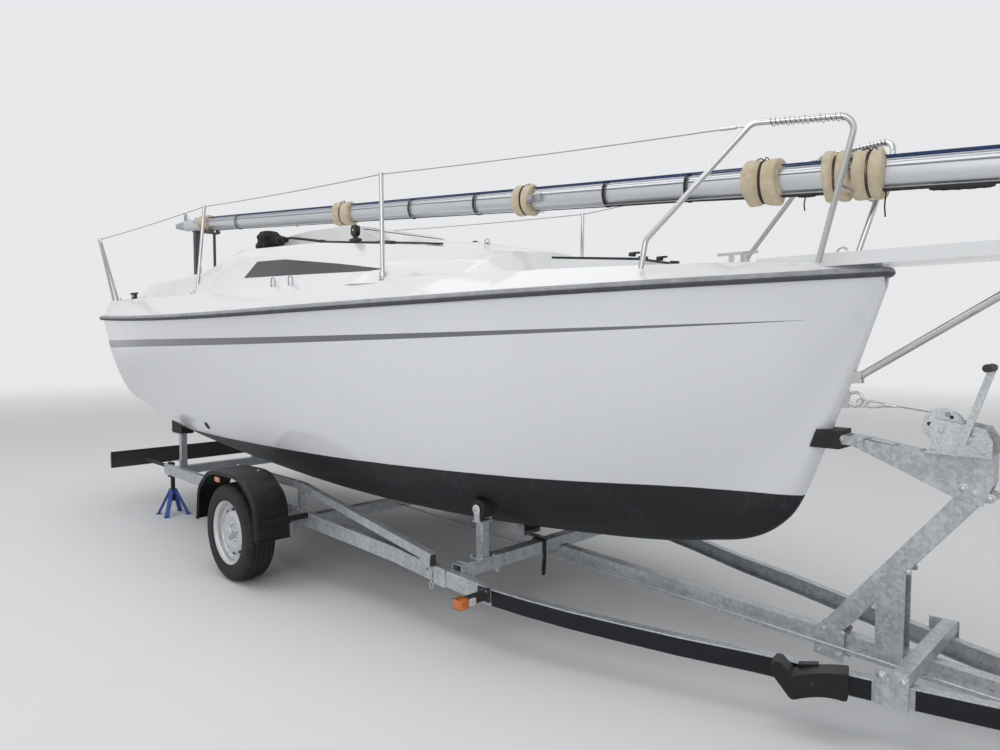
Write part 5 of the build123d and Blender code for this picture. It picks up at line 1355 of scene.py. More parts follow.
@dataclass
class Wheels:
    """Two road tyres with tread, and the rims with bolts, slots and valve."""

    x: float = -0.56
    z: float = 0.31
    y: float = 1.18
    bolt_ring: float = 0.056
    slot_ring: float = 0.1425
    grooves: Sequence[float] = (-0.046, -0.016, 0.016, 0.046)
    groove_depth: float = 0.0062
    wall_rings: Sequence[float] = (0.222, 0.268, 0.289)
    outline: Sequence[tuple[float, float]] = (
        (0.19, 0.073), (0.2035, 0.082), (0.206, 0.089), (0.216, 0.0925), (0.232, 0.0945), (0.262, 0.095),
        (0.283, 0.0915), (0.299, 0.08), (0.3072, 0.066), (0.3092, 0.034), (0.31, 0.0))

    def tyre(self, side: int) -> Shape:
        """One tyre as a surface of two angles.

        The outline is carried round the axle. Four grooves run round the tread as soft notches, short
        notches cross its shoulders at even angles, and three low rings stand on each wall.

        Args:
            side: One for port, minus one for starboard.

        Returns:
            The tyre.
        """
        half = np.asarray(self.outline)
        full = np.concatenate([half, half[-2::-1] * np.array([1.0, -1.0])])
        radius, width = curve(full, 93).T
        turn = np.linspace(0.0, math.tau, 432, endpoint=False)
        spread = np.abs(width)
        tread = (radius > 0.3005).astype(float)
        groove = np.max([np.exp(-(((width - place) / 0.0036) ** 4)) for place in self.grooves], axis=0)
        zigzag = turn[None, :] * 72.0 + np.sign(width)[:, None] * spread[:, None] * 60.0
        sipe = np.exp(-((np.sin(zigzag / 2.0) / 0.3) ** 4)) * ((spread > 0.05) | (spread < 0.012))[:, None]
        depth = self.groove_depth * tread[:, None] * np.maximum(groove[:, None], sipe * 0.75)
        rings = sum(np.exp(-(((radius - place) / 0.0016) ** 2)) for place in self.wall_rings)
        reach = radius[:, None] - depth
        wide = width + np.sign(width) * rings * 0.0009
        points = xyz(self.x + reach * np.cos(turn), side * self.y + wide[:, None], self.z + reach * np.sin(turn))
        return Shape().grid(np.moveaxis(points, 0, 1), closed=True)

    def fittings(self, side: int) -> tuple[Shape, Shape]:
        """Wheel bolts, valve and the painted shade in the slots of one rim.

        Args:
            side: One for port, minus one for starboard.

        Returns:
            The bright pieces and the painted shade of the slots.
        """
        bright, dark = Shape(), Shape()
        out = (0.0, float(side), 0.0)
        face = side * (self.y + 0.051)
        for step in range(5):
            angle = math.tau * (step + 0.25) / 5
            spot = (self.x + self.bolt_ring * math.cos(angle), face, self.z + self.bolt_ring * math.sin(angle))
            bright.lathe(spot, out, [(-0.004, 0.014), (0.003, 0.014), (0.008, 0.0105)], 20)
            bright.bolt((spot[0], face + side * 0.006, spot[2]), out, 0.012, False)
        cap = [(0.0, 0.033), (0.006, 0.032), (0.0085, 0.026), (0.009, 0.008)]
        bright.lathe((self.x, side * (self.y + 0.078), self.z), out, cap, 32)
        # Painted shade: a thin black disc in each slot stands for the dark seen through it.
        for step in range(10):
            angle = math.tau * (step + 0.5) / 10
            round_way = np.array([-math.sin(angle), 0.0, math.cos(angle)])
            outward = np.array([math.cos(angle), 0.0, math.sin(angle)])
            centre = np.array([self.x, side * (self.y + 0.0465), self.z]) + outward * self.slot_ring
            lean = np.array(out) * 0.5 + outward * 0.3
            lean /= np.linalg.norm(lean)
            steep = np.cross(round_way, lean)
            ring = circle(20) * np.array([0.0165, 0.0085])
            flat = centre + ring[:, :1] * round_way + ring[:, 1:] * steep
            dark.grid(np.stack([flat - lean * 0.004, flat + lean * 0.0008]), rings=True, caps=True)
        stem = np.array([self.x + 0.15, side * (self.y + 0.058), self.z - 0.052])
        bright.lathe(stem, (-0.25, side, 0.1), [(-0.012, 0.0042), (0.012, 0.0042), (0.016, 0.003)], 10)
        return bright, dark

    def build(self) -> None:
        """Adds both wheels' tyres and fittings, each on its own body."""
        for name, side in (("port", 1), ("starboard", -1)):
            tyre = self.tyre(side).piece("tread_" + name, Coat.TYRE, "tyre", "wheel_" + name, 60.0)
            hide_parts("tyre_" + name)
            bright, dark = self.fittings(side)
            bright.piece("wheel_bolts_" + name, Coat.BRIGHT, "rim_paint", "wheel_" + name, 40.0)
            dark.piece("rim_slots_" + name, Coat.BLACK, "rim_paint", "wheel_" + name, 40.0)
            softened("rim_" + name, Coat.RIM, "wheel_" + name, 0.0, 30.0)


@dataclass
class MastLine:
    """The lowered mast's line and what is tied to it."""

    slope: float = -0.0795
    height: float = 2.215 + 0.0795 * STEM
    wide: float = 0.039
    deep: float = 0.06

    def at(self, x: float | np.ndarray, y: float | np.ndarray = 0.0, lift: float | np.ndarray = 0.0) -> np.ndarray:
        """Points beside the mast's middle line.

        Args:
            x: Place along the boat.
            y: Distance to port.
            lift: Distance above the line.

        Returns:
            The points.
        """
        x = np.asarray(x, float)
        return xyz(x, y, self.height + self.slope * x + lift)

    def pad(self, x: float, wide: float, high: float, long: float, seed: float) -> Shape:
        """One foam pad round the mast, drawn in where its cord holds it.

        Along the mast the outline is a rounded box with a waist, and round the mast it is an ellipse with a few
        slow lumps. The surface goes back along the mast's own ellipse, so it closes on itself.

        Args:
            x: Middle of the pad.
            wide: Half its width.
            high: Half its height.
            long: Its length.
            seed: Shifts the lumps.

        Returns:
            The pad.
        """
        turn = np.linspace(0.0, math.tau, 72, endpoint=False)
        run = np.linspace(-1.0, 1.0, 37)
        edge = (1.0 - np.abs(run) ** 16.0) ** 0.4
        waist = 1.0 - 0.34 * np.exp(-((run / 0.17) ** 2))
        lumps = 1.0 + 0.035 * np.sin(3 * turn + seed * 5) + 0.025 * np.sin(5 * turn - seed * 3)
        flap = np.exp(-((np.angle(np.exp(1j * (turn - 1.1 - seed * 0.7))) / 0.45) ** 2))
        flare = 1.0 + 0.3 * flap[None, :] * np.clip(run * np.cos(seed * 2.1), 0.0, 1.0)[:, None] ** 1.5
        size = (edge * waist)[:, None] * lumps[None, :] * flare
        inner = np.array([self.wide * 0.985, self.deep * 0.985])
        y = (inner[0] + (wide - inner[0]) * size) * np.cos(turn)
        z = (inner[1] + (high - inner[1]) * size) * np.sin(turn)
        shift = np.sin(turn * 2 + seed) * 0.006
        along = x + run[:, None] * long / 2 + shift[None, :] * np.abs(run)[:, None]
        outer = self.at(along, y, z)
        back = np.array([0.9, 0.0, -0.9])[:, None] * long / 2 + x
        hollow = self.at(back, inner[0] * np.cos(turn), inner[1] * np.sin(turn))
        return Shape().grid(np.concatenate([outer, hollow]), rings=True, closed=True)

    def lashing(self, shape: Shape, x: float, wide: float, high: float, thick: float, turns: int = 2) -> Shape:
        """Adds cord wound round the mast.

        Args:
            shape: What it is added to.
            x: Middle of the winding.
            wide: Half its width.
            high: Half its height.
            thick: The cord's radius.
            turns: Number of turns.

        Returns:
            The shape.
        """
        turn = np.linspace(0.0, math.tau * turns, 40 * turns)
        along = x + (turn / math.tau - turns / 2) * thick * 2.3
        path = self.at(along, wide * np.cos(turn), high * np.sin(turn))
        return shape.tube(path, thick, AHEAD, 8)

    def tails(self, shape: Shape, x: float, high: float, number: int) -> None:
        """Adds a knot and two short ends where a cord is tied.

        Args:
            shape: What it is added to.
            x: Place along the mast.
            high: Distance of the cord above the middle line.
            number: Count of the tie, which varies its ends.
        """
        lean = -1.0 if number % 2 else 1.0
        knot = self.at(x, 0.006 * lean, high + 0.004)
        shape.pillow(knot, (0.008, 0.007, 0.006), 0.8, 10)
        for way in (-1.0, 1.0):
            end = curve([knot, knot + (0.012 * way, 0.01 * lean, 0.01), knot + (0.026 * way, 0.018 * lean, 0.004),
                         knot + (0.036 * way, 0.03 * lean, -0.014)], 14)
            shape.tube(end, 0.0026, (0.0, 0.3, 1.0), 8)


@dataclass
class MastDressing:
    """Pads, lashings, shrouds, slots and ties of the lowered mast."""

    line: MastLine = field(default_factory=MastLine)
    pads: Sequence[tuple[float, float, float, float]] = (
        (-3.705, 0.075, 0.096, 0.19), (-1.112, 0.072, 0.098, 0.215), (0.842, 0.069, 0.097, 0.15),
        (2.338, 0.076, 0.11, 0.178), (2.668, 0.079, 0.112, 0.112), (2.799, 0.079, 0.108, 0.124))
    ties: Sequence[float] = (-2.95, -0.25, 0.42, 1.45, 1.95, 3.45, 4.02)
    rivets: Sequence[float] = (-3.1, -1.7, 0.2, 1.2, 2.1, 3.3, 3.8)
    eyes: Sequence[float] = (-3.42, -1.86, 0.97, 3.22)

    def build(self) -> None:
        """Adds it all."""
        line = self.line
        foam, cords = Shape(), Shape()
        for number, (x, wide, high, long) in enumerate(self.pads):
            part = line.pad(x, wide, high, long, number * 1.7)
            foam.add(np.concatenate(part.points), part.faces)
            waist = line.wide + (wide - line.wide) * 0.68, line.deep + (high - line.deep) * 0.68
            line.lashing(cords, x, waist[0] + 0.002, waist[1] + 0.002, 0.0032)
            line.tails(cords, x, waist[1], number)
        pads = foam.piece("mast_pads", Coat.FOAM, "foam")
        puffed(pads, 0.006, self.give)
        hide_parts("foam_pads")
        for x in self.ties:
            line.lashing(cords, x, line.wide + 0.01, line.deep + 0.01, 0.0026, 3)
        cords.piece("mast_lashings", Coat.ROPE, "cloth")
        self.shrouds()
        self.details()

    def give(self, spot: np.ndarray) -> np.ndarray:
        """How far the points of the pads may swell: nothing at the cords and inside, most between.

        Args:
            spot: The points.

        Returns:
            One distance for each point.
        """
        middles = np.array([row[0] for row in self.pads])
        away = np.min(np.abs(spot[:, :1] - middles[None, :]), axis=1)
        line = self.line
        lift = spot[:, 2] - line.at(spot[:, 0])[:, 2]
        out = np.hypot(spot[:, 1] / line.wide, lift / line.deep)
        return 0.007 * np.clip((away - 0.008) / 0.02, 0.0, 1.0) * np.clip((out - 1.12) / 0.2, 0.0, 1.0)

    def shrouds(self) -> None:
        """Navy and steel lines that lie along the mast, held by the lashings."""
        line = self.line
        knots = np.array([-3.95, -3.3, -2.95, -1.9, -0.25, 0.42, 1.45, 2.2, 3.0, 3.45, 4.02, 4.24])
        ropes, wires = Shape(), Shape()
        rows = ((0.014, 0.066, 0.0048, ropes), (-0.016, 0.068, 0.0042, ropes), (0.03, 0.058, 0.004, ropes),
                (-0.034, 0.046, 0.0026, wires), (-0.0405, 0.022, 0.0026, wires), (0.0405, 0.02, 0.0026, wires),
                (-0.026, -0.064, 0.003, wires), (0.004, -0.0665, 0.003, ropes))
        for number, (y, lift, radius, shape) in enumerate(rows):
            sway = 0.0022 * np.sin(knots * 2.3 + number * 2.1)
            points = line.at(knots, y, lift) + xyz(0.0, sway, sway * 0.6 + 0.001)
            shape.tube(curve(points, 150), radius, PORT, 8)
        ropes.piece("mast_ropes", Coat.NAVY, "cloth")
        wires.piece("mast_shrouds", Coat.WIRE, "stainless")

    def details(self) -> None:
        """Painted shade in the slots near both ends, rivets, and eyes under the mast."""
        line = self.line
        black, steel = Shape(), Shape()
        # Painted shade: a thin black patch on each side of the mast stands for the dark inside a slot.
        for x0, x1, y in ((3.99, 4.13, -1), (-3.62, -3.5, 1)):
            x = np.linspace(x0, x1, 15)
            flat = np.concatenate([x, x[::-1]])
            height = 0.012 * (1 - np.abs(np.linspace(-1, 1, 15)) ** 6) ** 0.5
            points = line.at(flat, y * (line.wide + 0.0006), np.concatenate([height, -height[::-1]]))
            black.grid(np.stack([points, points - np.array([0.0, y * 0.002, 0.0])]), rings=True, caps=True)
        for x in self.rivets:
            for y in (-1.0, 1.0):
                base = line.at(x, y * (line.wide - 0.0004), 0.0)
                steel.lathe(base, (0.0, y, 0.0), [(0.0, 0.005), (0.0016, 0.0042), (0.0024, 0.002)], 12)
        turn = np.linspace(0.0, math.pi, 17)
        for x in self.eyes:
            eye = line.at(x, 0.0, -line.deep - 0.01)
            arch = eye + xyz(0.016 * np.cos(turn), 0.0, 0.01 - 0.02 * np.sin(turn))
            steel.tube(arch, 0.0032, PORT, 8)
        black.piece("mast_slots", Coat.BLACK, "black_plastic", smooth=40.0)
        steel.piece("mast_rivets", Coat.STEEL, "stainless", smooth=50.0)


@dataclass
class Lifelines:
    """Wires from the quarter rail over the stanchions to the pulpit, each side."""

    posts: Sequence[Point] = (
        (-3.44, 1.115, 2.44), (-1.73, 0.868, 2.556), (0.58, 0.886, 2.432), (2.455, 0.384, 2.414))
    radius: float = 0.003
    sag: float = 0.008

    def build(self) -> None:
        """Adds a wire with its end fittings on both sides."""
        wire, ends = Shape(), Shape()
        for first, last in zip(self.posts, self.posts[1:]):
            share = np.linspace(0.0, 1.0, 25)[:, None]
            path = np.asarray(first) * (1 - share) + np.asarray(last) * share
            path[:, 2] -= self.sag * 4 * share[:, 0] * (1 - share[:, 0])
            wire.tube(path, self.radius, (0.0, 1.0, 0.2), 8)
        last = np.asarray(self.posts[-1])
        way = last - np.asarray(self.posts[-2])
        way /= np.linalg.norm(way)
        barrel = [(-0.21, 0.0032), (-0.2, 0.0056), (-0.13, 0.0056), (-0.128, 0.008), (-0.06, 0.008),
                  (-0.058, 0.0044), (-0.015, 0.0044), (-0.013, 0.0078), (0.0, 0.0078)]
        ends.lathe(last, way, barrel, 14)
        start = np.asarray(self.posts[0])
        way = np.asarray(self.posts[1]) - start
        ends.lathe(start, way, [(0.0, 0.007), (0.02, 0.007), (0.021, 0.005), (0.1, 0.005), (0.11, 0.0032)], 14)
        for post in self.posts[1:3]:
            ends.lathe(post, UP, [(-0.012, 0.0132), (0.006, 0.0132), (0.01, 0.009), (0.011, 0.002)], 18)
        wire.mirrored().piece("lifelines", Coat.WIRE, "stainless")
        ends.mirrored().piece("lifeline_fittings", Coat.STEEL, "stainless", smooth=40.0)


@dataclass
class RailLine:
    """Plan and height of the side rails, on which their painted shade strips, plates and bolts sit."""

    x: Sequence[float] = (-2.78, -1.43, -0.13, 0.67, 1.04, 1.37, 1.57, 1.77, 1.97, 2.27, 2.57, 2.87, 3.07,
                          3.27, 3.57, 3.87)
    y: Sequence[float] = (0.8, 0.9, 0.925, 0.874, 0.85, 0.812, 0.768, 0.712, 0.65, 0.566, 0.462, 0.374, 0.308,
                          0.246, 0.148, 0.054)
    top: Sequence[float] = (0.423, 0.461, 0.451, 0.397, 0.354, 0.316, 0.302, 0.288, 0.277, 0.268, 0.259, 0.246, 0.237,
                            0.231, 0.222, 0.2156)
    half: float = 0.024
    height: float = 0.086

    def face(self, x: float | np.ndarray, drop: float | np.ndarray, out: float = 0.0) -> np.ndarray:
        """Points on the outer face of the starboard rail.

        Args:
            x: Place along the trailer.
            drop: Distance below the rail's top.
            out: Distance outside the face.

        Returns:
            The points.
        """
        y = -(np.interp(x, self.x, self.y) + self.half + out)
        return xyz(x, y, np.interp(x, self.x, self.top) - drop)

    def sheet(self, shape: Shape, x0: float, x1: float, high: float, low: float, thick: float) -> None:
        """Adds a strip that follows the rail's outer face.

        Args:
            shape: What it is added to.
            x0: Where it starts.
            x1: Where it ends.
            high: Distance of its upper edge below the rail's top.
            low: Distance of its lower edge.
            thick: Its thickness.
        """
        x = np.array(sorted({x0, x1} | {knot for knot in self.x if x0 < knot < x1}))
        ring = [self.face(x, high, 0.0002), self.face(x, high, thick), self.face(x, low, thick),
                self.face(x, low, 0.0002)]
        shape.grid(np.stack(ring, 1), rings=True, caps=True)


@dataclass
class Steelwork:
    """Plates, clamps, bolts, and painted shade for the rails' faces and holes; starboard side, mirrored where it says
    so.
    """

    rail: RailLine = field(default_factory=RailLine)
    domes: Sequence[tuple[float, float, float, float]] = (
        (2.996, -0.3735, 0.27, 0.0125), (3.072, -0.3735, 0.268, 0.0125), (2.647, -0.0465, 0.16, 0.012),
        (2.726, -0.0465, 0.16, 0.012), (2.664, -0.0465, 0.262, 0.008), (2.742, -0.0465, 0.262, 0.008),
        (2.99, -0.0445, 0.587, 0.009), (3.0, -0.0445, 0.224, 0.012), (3.172, -0.0465, 0.957, 0.0125),
        (3.262, -0.0465, 0.93, 0.0125), (3.211, -0.0465, 0.943, 0.01))
    drum: Point = (3.101, 0.0, 1.193)
    cross: tuple[float, float, float] = (1.085, 1.155, 0.38)  # front crossmember: both faces and its top
    bar: tuple[tuple[float, float], tuple[float, float]] = ((0.985, 0.411), (-0.285, 0.6))
    bar_face: float = -0.9108
    pitch: float = 0.03
    nuts: Sequence[tuple[float, float, float, float]] = (
        (3.1, -0.0745, 1.178, 0.01), (3.205, -0.0745, 1.172, 0.008), (3.186, -0.0745, 1.146, 0.013),
        (3.24, -0.0745, 1.105, 0.008), (3.07, -0.0745, 1.105, 0.008), (2.716, -0.0525, 1.106, 0.012),
        (2.79, -0.0525, 1.106, 0.008), (0.87, -0.0785, 0.392, 0.012), (-2.61, -0.0785, 0.588, 0.012),
        (1.12, -0.6865, 0.64, 0.012))

    def build(self) -> None:
        """Adds it all."""
        self.shade_strips_and_plates()
        self.bolts()
        self.clamps()
        self.punched()
        self.winch()
        self.rollers()

    def shade_strips_and_plates(self) -> None:
        """Painted shade: a thin black strip on the front of both rails, broken at the clamp plates, standing in for
        the shade on their outer faces; then the joint plates.
        """
        sheet = Shape()
        for x0, x1 in ((1.38, 2.962), (3.1, 3.79)):
            self.rail.sheet(sheet, x0, x1, 0.006, 0.0815, 0.0014)
        sheet.mirrored().piece("rail_sheets", Coat.RAIL_SHADE, "black_plastic", smooth=20.0)
        plate = Shape()
        self.rail.sheet(plate, 1.004, 1.084, -0.004, 0.091, 0.006)
        self.rail.sheet(plate, -0.25, -0.235, 0.004, 0.082, 0.003)
        plate.mirrored().piece("rail_joint_plates", Coat.ZINC, "galvanised", smooth=20.0, bevel=0.0012)

    def bolts(self) -> None:
        """Round-headed bolts, nuts, and painted shade in small holes."""
        bright = Shape()
        for x, y, z, size in self.domes:
            bright.dome((x, y, z), STARBOARD, size)
        for x, y, z, size in self.nuts:
            bright.bolt((x, y, z), STARBOARD, size, True, size * 0.4)
        for x, drop in ((1.018, 0.012), (1.07, 0.012), (1.018, 0.074), (1.07, 0.074)):
            bright.dome(self.rail.face(x, drop, 0.006), STARBOARD, 0.008)
        for x in (-0.475, -0.345):
            bright.bolt((x, -0.966, 0.3572), UP, 0.012, True, 0.03)
            bright.bolt((x, -0.966, 0.3488), DOWN, 0.012, True, 0.008)
            bright.bolt((x, -0.9525, 0.405), STARBOARD, 0.012, True, 0.006)
        for x in (-0.335, -0.255):
            bright.bolt(self.rail.face(x, -0.0002, -0.01), UP, 0.009, True, 0.005)
        for x in (1.335, 1.36):
            bright.dome((x, -0.852, 0.305), (-0.25, -1.0, 0.0), 0.004)
        for x in (-2.585, -2.635):
            bright.bolt((x, -0.7515, 0.462), STARBOARD, 0.01, True, 0.004)
        bright.mirrored().piece("bolts", Coat.BRIGHT, "galvanised", smooth=38.0)
        # Painted shade: black discs on the rail faces stand for the dark inside the small holes.
        holes = Shape()
        for x, drop, size in ((-0.1, 0.022, 0.005), (0.06, 0.03, 0.0035), (0.2, 0.022, 0.0035), (0.95, 0.034, 0.006),
                              (0.78, 0.028, 0.0035), (-0.9, 0.03, 0.005), (-1.3, 0.03, 0.005),
                              (-2.3, 0.04, 0.006), (-2.6, 0.04, 0.006)):
            holes.lathe(self.rail.face(x, drop), STARBOARD, [(-0.002, size), (0.0006, size)], 16)
        holes.mirrored().piece("rail_holes", Coat.BLACK, "galvanised", smooth=40.0)

    def clamps(self) -> None:
        """Bands round the front crossmember, U-bolts, the hanging ring and the black strap."""
        steel = Shape()
        thick, low = 0.0045, 0.3
        near, far, top = self.cross
        band = np.array([(near - thick, low), (near - thick, top + thick), (far + thick, top + thick),
                         (far + thick, low), (far, low), (far, top + 0.0002), (near, top + 0.0002), (near, low)])
        for y in (-0.545, -0.735):
            steel.slab(band, (0.0, y, 0.0), AHEAD, UP, 0.05)
            for x in (1.0785, 1.1615):
                path = xyz(x, y - 0.025, np.array([0.29, low, 0.352]))
                steel.tube(path, thick, PORT, 10)
                steel.bolt(path[1], DOWN, 0.009, True, 0.004)
        base = np.array([(1.075, -0.695), (1.165, -0.695), (1.165, -0.585), (1.075, -0.585)])
        steel.slab(base, (0.0, 0.0, top + 0.0002), AHEAD, PORT, 0.005)
        for x in (1.082, 1.158):
            for y in (-0.686, -0.594):
                steel.bolt((x, y, 0.3852), UP, 0.007, True, 0.004)
        turn = np.linspace(0.0, math.tau, 28, endpoint=False)
        spot = self.rail.face(0.985, self.rail.height + 0.012, 0.004)
        ring = spot + xyz(0.015 * np.cos(turn), 0.0, 0.017 * np.sin(turn) - 0.008)
        steel.tube(ring, 0.003, PORT, 8, closed=True)
        hanger = spot + np.array([(0.0, 0.0, 0.0), (0.0, 0.0, 0.012), (0.0, 0.0, 0.03), (0.0, 0.002, 0.052)])
        steel.tube(curve(hanger, 10), 0.0028, PORT, 8)
        steel.dome(spot + (0.0, 0.0, 0.052), STARBOARD, 0.006)
        for x in (-0.475, -0.345):
            path = curve([(x, -0.938, 0.3405), (x, -0.9385, 0.3), (x, -0.955, 0.289), (x, -0.972, 0.3),
                          (x, -0.974, 0.3405)], 24)
            steel.tube(path, 0.0055, AHEAD, 10)
        steel.mirrored().piece("trailer_clamps", Coat.BRIGHT, "galvanised", smooth=38.0)
        strap = Shape()
        loop = [(1.076, 0.385), (1.083, 0.3865), (1.157, 0.3865), (1.1615, 0.38), (1.1615, 0.3), (1.158, 0.215),
                (1.152, 0.18), (1.148, 0.215), (1.1575, 0.3), (1.1575, 0.38), (1.1555, 0.3825), (1.083, 0.3825),
                (1.079, 0.381), (1.079, 0.3), (1.075, 0.3)]
        strap.slab(np.array(loop), (0.0, -0.172, 0.0), AHEAD, UP, 0.028)
        strap.piece("frame_strap", Coat.RUBBER, "rubber", smooth=30.0, bevel=0.0006)

    def punched(self) -> None:
        """Painted shade in the rows of slots along the stiffening bars, and the black plugs in their ends."""
        start, end = np.array(self.bar)
        way = (end - start) / np.linalg.norm(end - start)
        lift = np.array([way[1], -way[0]])
        slot = np.concatenate([circle(12)[:7] * 0.0035 + (0.0055, 0.0), circle(12)[6:] * 0.0035 - (0.0055, 0.0)])
        # Painted shade: thin black slots on the bars stand for the dark seen through the punched slots.
        dark = Shape()
        for step in np.arange(0.03, np.linalg.norm(end - start) - 0.02, self.pitch):
            for row in (-0.01, 0.01):
                middle = start + way * step + lift * row
                dark.slab(slot[::-1], (middle[0], self.bar_face, middle[1]), (way[0], 0.0, way[1]),
                          (lift[0], 0.0, lift[1]), 0.0006)
        for x in np.arange(-0.92, -0.33, self.pitch):
            for z in (0.59, 0.61):
                dark.slab(slot[::-1], (x, self.bar_face, z), ASTERN, DOWN, 0.0006)
        dark.block((1.0055, -0.907, 0.362), (1.0135, -0.875, 0.42))
        dark.mirrored().piece("punched_slots", Coat.BLACK, "galvanised", smooth=40.0)

    def winch(self) -> None:
        """Turns of cable on the drum, the run to the bow eye with its snap hook, and painted shade in small holes."""
        centre = np.array(self.drum)
        turn = np.linspace(0.0, math.tau * 7.0, 260)
        path = centre + xyz(0.036 * np.cos(turn), np.linspace(-0.04, 0.04, 260), 0.036 * np.sin(turn))
        wound = Shape().tube(path, 0.0058, PORT, 8)
        wound.piece("wound_line", Coat.WIRE, "galvanised", "winch_drum", 60.0)
        # Painted shade: black discs on the drum's gear stand for the dark inside its holes.
        hole = Shape()
        for angle in (0.9, 3.0, 5.1):
            spot = centre + np.array([0.048 * math.cos(angle), -0.0602, 0.048 * math.sin(angle)])
            hole.lathe(spot, STARBOARD, [(-0.002, 0.0075), (0.0006, 0.0075)], 16)
        hole.piece("gear_holes", Coat.BLACK, "galvanised", "winch_drum", 40.0)
        steel = Shape()
        turn = np.linspace(0.0, math.tau, 32, endpoint=False)
        loop = np.array([2.786, 0.0, 1.262]) + xyz(0.022 * np.cos(turn), 0.0, 0.017 * np.sin(turn))
        steel.tube(loop, 0.004, PORT, 10, closed=True)
        hook = curve([(2.808, 0.0, 1.268), (2.8, 0.0, 1.256), (2.808, 0.0, 1.247), (2.83, 0.0, 1.246),
                      (2.86, 0.0, 1.251), (2.876, 0.0, 1.256), (2.866, 0.0, 1.266), (2.838, 0.0, 1.27),
                      (2.812, 0.0, 1.27)], 60)
        steel.tube(hook, 0.0048, PORT, 10)
        swivel = [(0.0, 0.008), (0.01, 0.009), (0.04, 0.006), (0.05, 0.0045)]
        steel.lathe((2.872, 0.0, 1.257), (1.0, 0.0, -0.04), swivel, 16)
        steel.piece("snap_hook", Coat.STEEL, "stainless")
        cable = np.linspace((2.915, 0.0, 1.2555), (3.098, 0.0, 1.2345), 20)
        Shape().tube(cable, 0.0028, PORT, 8).piece("winch_cable", Coat.WIRE, "stainless")
        top = Shape()
        for x, z in ((2.818, 1.1195), (2.925, 1.103), (3.02, 1.0885)):
            top.dome((x, 0.0, z), (0.15, 0.0, 1.0), 0.008)
        top.piece("arm_bolts", Coat.BRIGHT, "galvanised", smooth=40.0)

    def rollers(self) -> None:
        """White hubs of the side rollers and of the keel roller at the tail."""
        hub = [(0.0, 0.026), (0.003, 0.026), (0.005, 0.023), (0.0055, 0.014)]
        white = Shape().lathe((1.12, -0.6862, 0.64), STARBOARD, hub, 28)
        white.lathe((-2.61, -0.0782, 0.588), STARBOARD, [(0.0, 0.02), (0.003, 0.019)], 24)
        white.mirrored().piece("roller_hubs", Coat.WHITE, "rubber", smooth=40.0)


@dataclass
class Lamps:
    """Lenses of the marker lamps, tail lamps and reflectors."""

    def build(self) -> None:
        """Adds every lens, on both sides."""
        amber, white, red = Shape(), Shape(), Shape()
        amber.pillow((1.352, -1.0095, 0.285), (0.0335, 0.0265, 0.0262), 0.3)
        white.pillow((1.3765, -0.958, 0.284), (0.0062, 0.0235, 0.0195), 0.42)
        amber.pillow((-0.65, -1.285, 0.64), (0.035, 0.0035, 0.016), 0.28)
        amber.pillow((-3.465, -1.0485, 0.41), (0.01, 0.0045, 0.05), 0.25)
        amber.pillow((-3.4745, -0.886, 0.41), (0.005, 0.032, 0.054), 0.25)
        white.pillow((-3.4745, -0.834, 0.41), (0.005, 0.018, 0.054), 0.25)
        red.pillow((-3.4745, -0.984, 0.41), (0.005, 0.062, 0.054), 0.22)
        red.lathe((-3.44, -0.62, 0.41), ASTERN, [(0.0, 0.066), (0.005, 0.066), (0.0055, 0.06)], 3)
        amber.mirrored().piece("amber_lenses", Coat.AMBER, "lamp_plastic", smooth=50.0)
        white.mirrored().piece("clear_lenses", Coat.CLEAR, "lamp_plastic", smooth=50.0)
        red.mirrored().piece("red_lenses", Coat.RED, "lamp_plastic", smooth=50.0)


@dataclass
class Guards:
    """The moulded mudguards: a rounded skin with a flange that has two ribs, and their lips."""

    line: Sequence[tuple[float, float]] = ((-0.99, 0.333), (-0.96, 0.56), (-0.78, 0.7), (-0.36, 0.71),
                                           (-0.16, 0.57), (-0.13, 0.333))
    easing: float = 0.32
    section: Sequence[tuple[float, float]] = (
        (0.0, -1.068), (0.0, -1.24), (0.0002, -1.26), (0.0012, -1.272), (0.0036, -1.28), (0.007, -1.284),
        (0.009, -1.2872), (0.012, -1.2892), (0.015, -1.2872), (0.0168, -1.2848), (0.0205, -1.2848),
        (0.0225, -1.2872), (0.0255, -1.2892), (0.0285, -1.2872), (0.0305, -1.2846), (0.034, -1.284),
        (0.034, -1.2785), (0.016, -1.277), (0.0095, -1.273), (0.0074, -1.264), (0.007, -1.24),
        (0.007, -1.068))

    def edge(self) -> np.ndarray:
        """The mudguard's outline, its corners rounded by arcs of a parabola.

        Returns:
            Points of two numbers.
        """
        table = np.asarray(self.line)
        rows = [table[0], table[0] * 0.5 + table[1] * 0.5]
        for before, corner, after in zip(table, table[1:], table[2:]):
            first, last = corner + (before - corner) * self.easing, corner + (after - corner) * self.easing
            rows.extend(bend(first, corner, last, 13))
        rows += [table[-1] * 0.5 + table[-2] * 0.5, table[-1]]
        return np.array(rows)

    def build(self) -> None:
        """Adds the skin, the front and rear lips and the fixing bolts on both sides."""
        flat = self.edge()
        path = xyz(flat[:, 0], 0.0, flat[:, 1])
        skin = Shape().swept(path, np.asarray(self.section), PORT)
        for x in (-0.136, -1.002):
            skin.block((x, -1.284, 0.33), (x + 0.018, -1.07, 0.336))
        guard = skin.mirrored().piece("mudguard_skins", Coat.GUARD, "black_plastic", smooth=38.0)
        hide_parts("mudguards")
        bolts = Shape()
        for y in (-1.11, -1.2):
            bolts.dome((-0.1305, y, 0.437), AHEAD, 0.007)
        for x in (-0.7, -0.42):
            bolts.dome((x, -1.12, 0.7055), UP, 0.007)
        bolts.mirrored().piece("mudguard_bolts", Coat.BRIGHT, "galvanised", smooth=40.0)


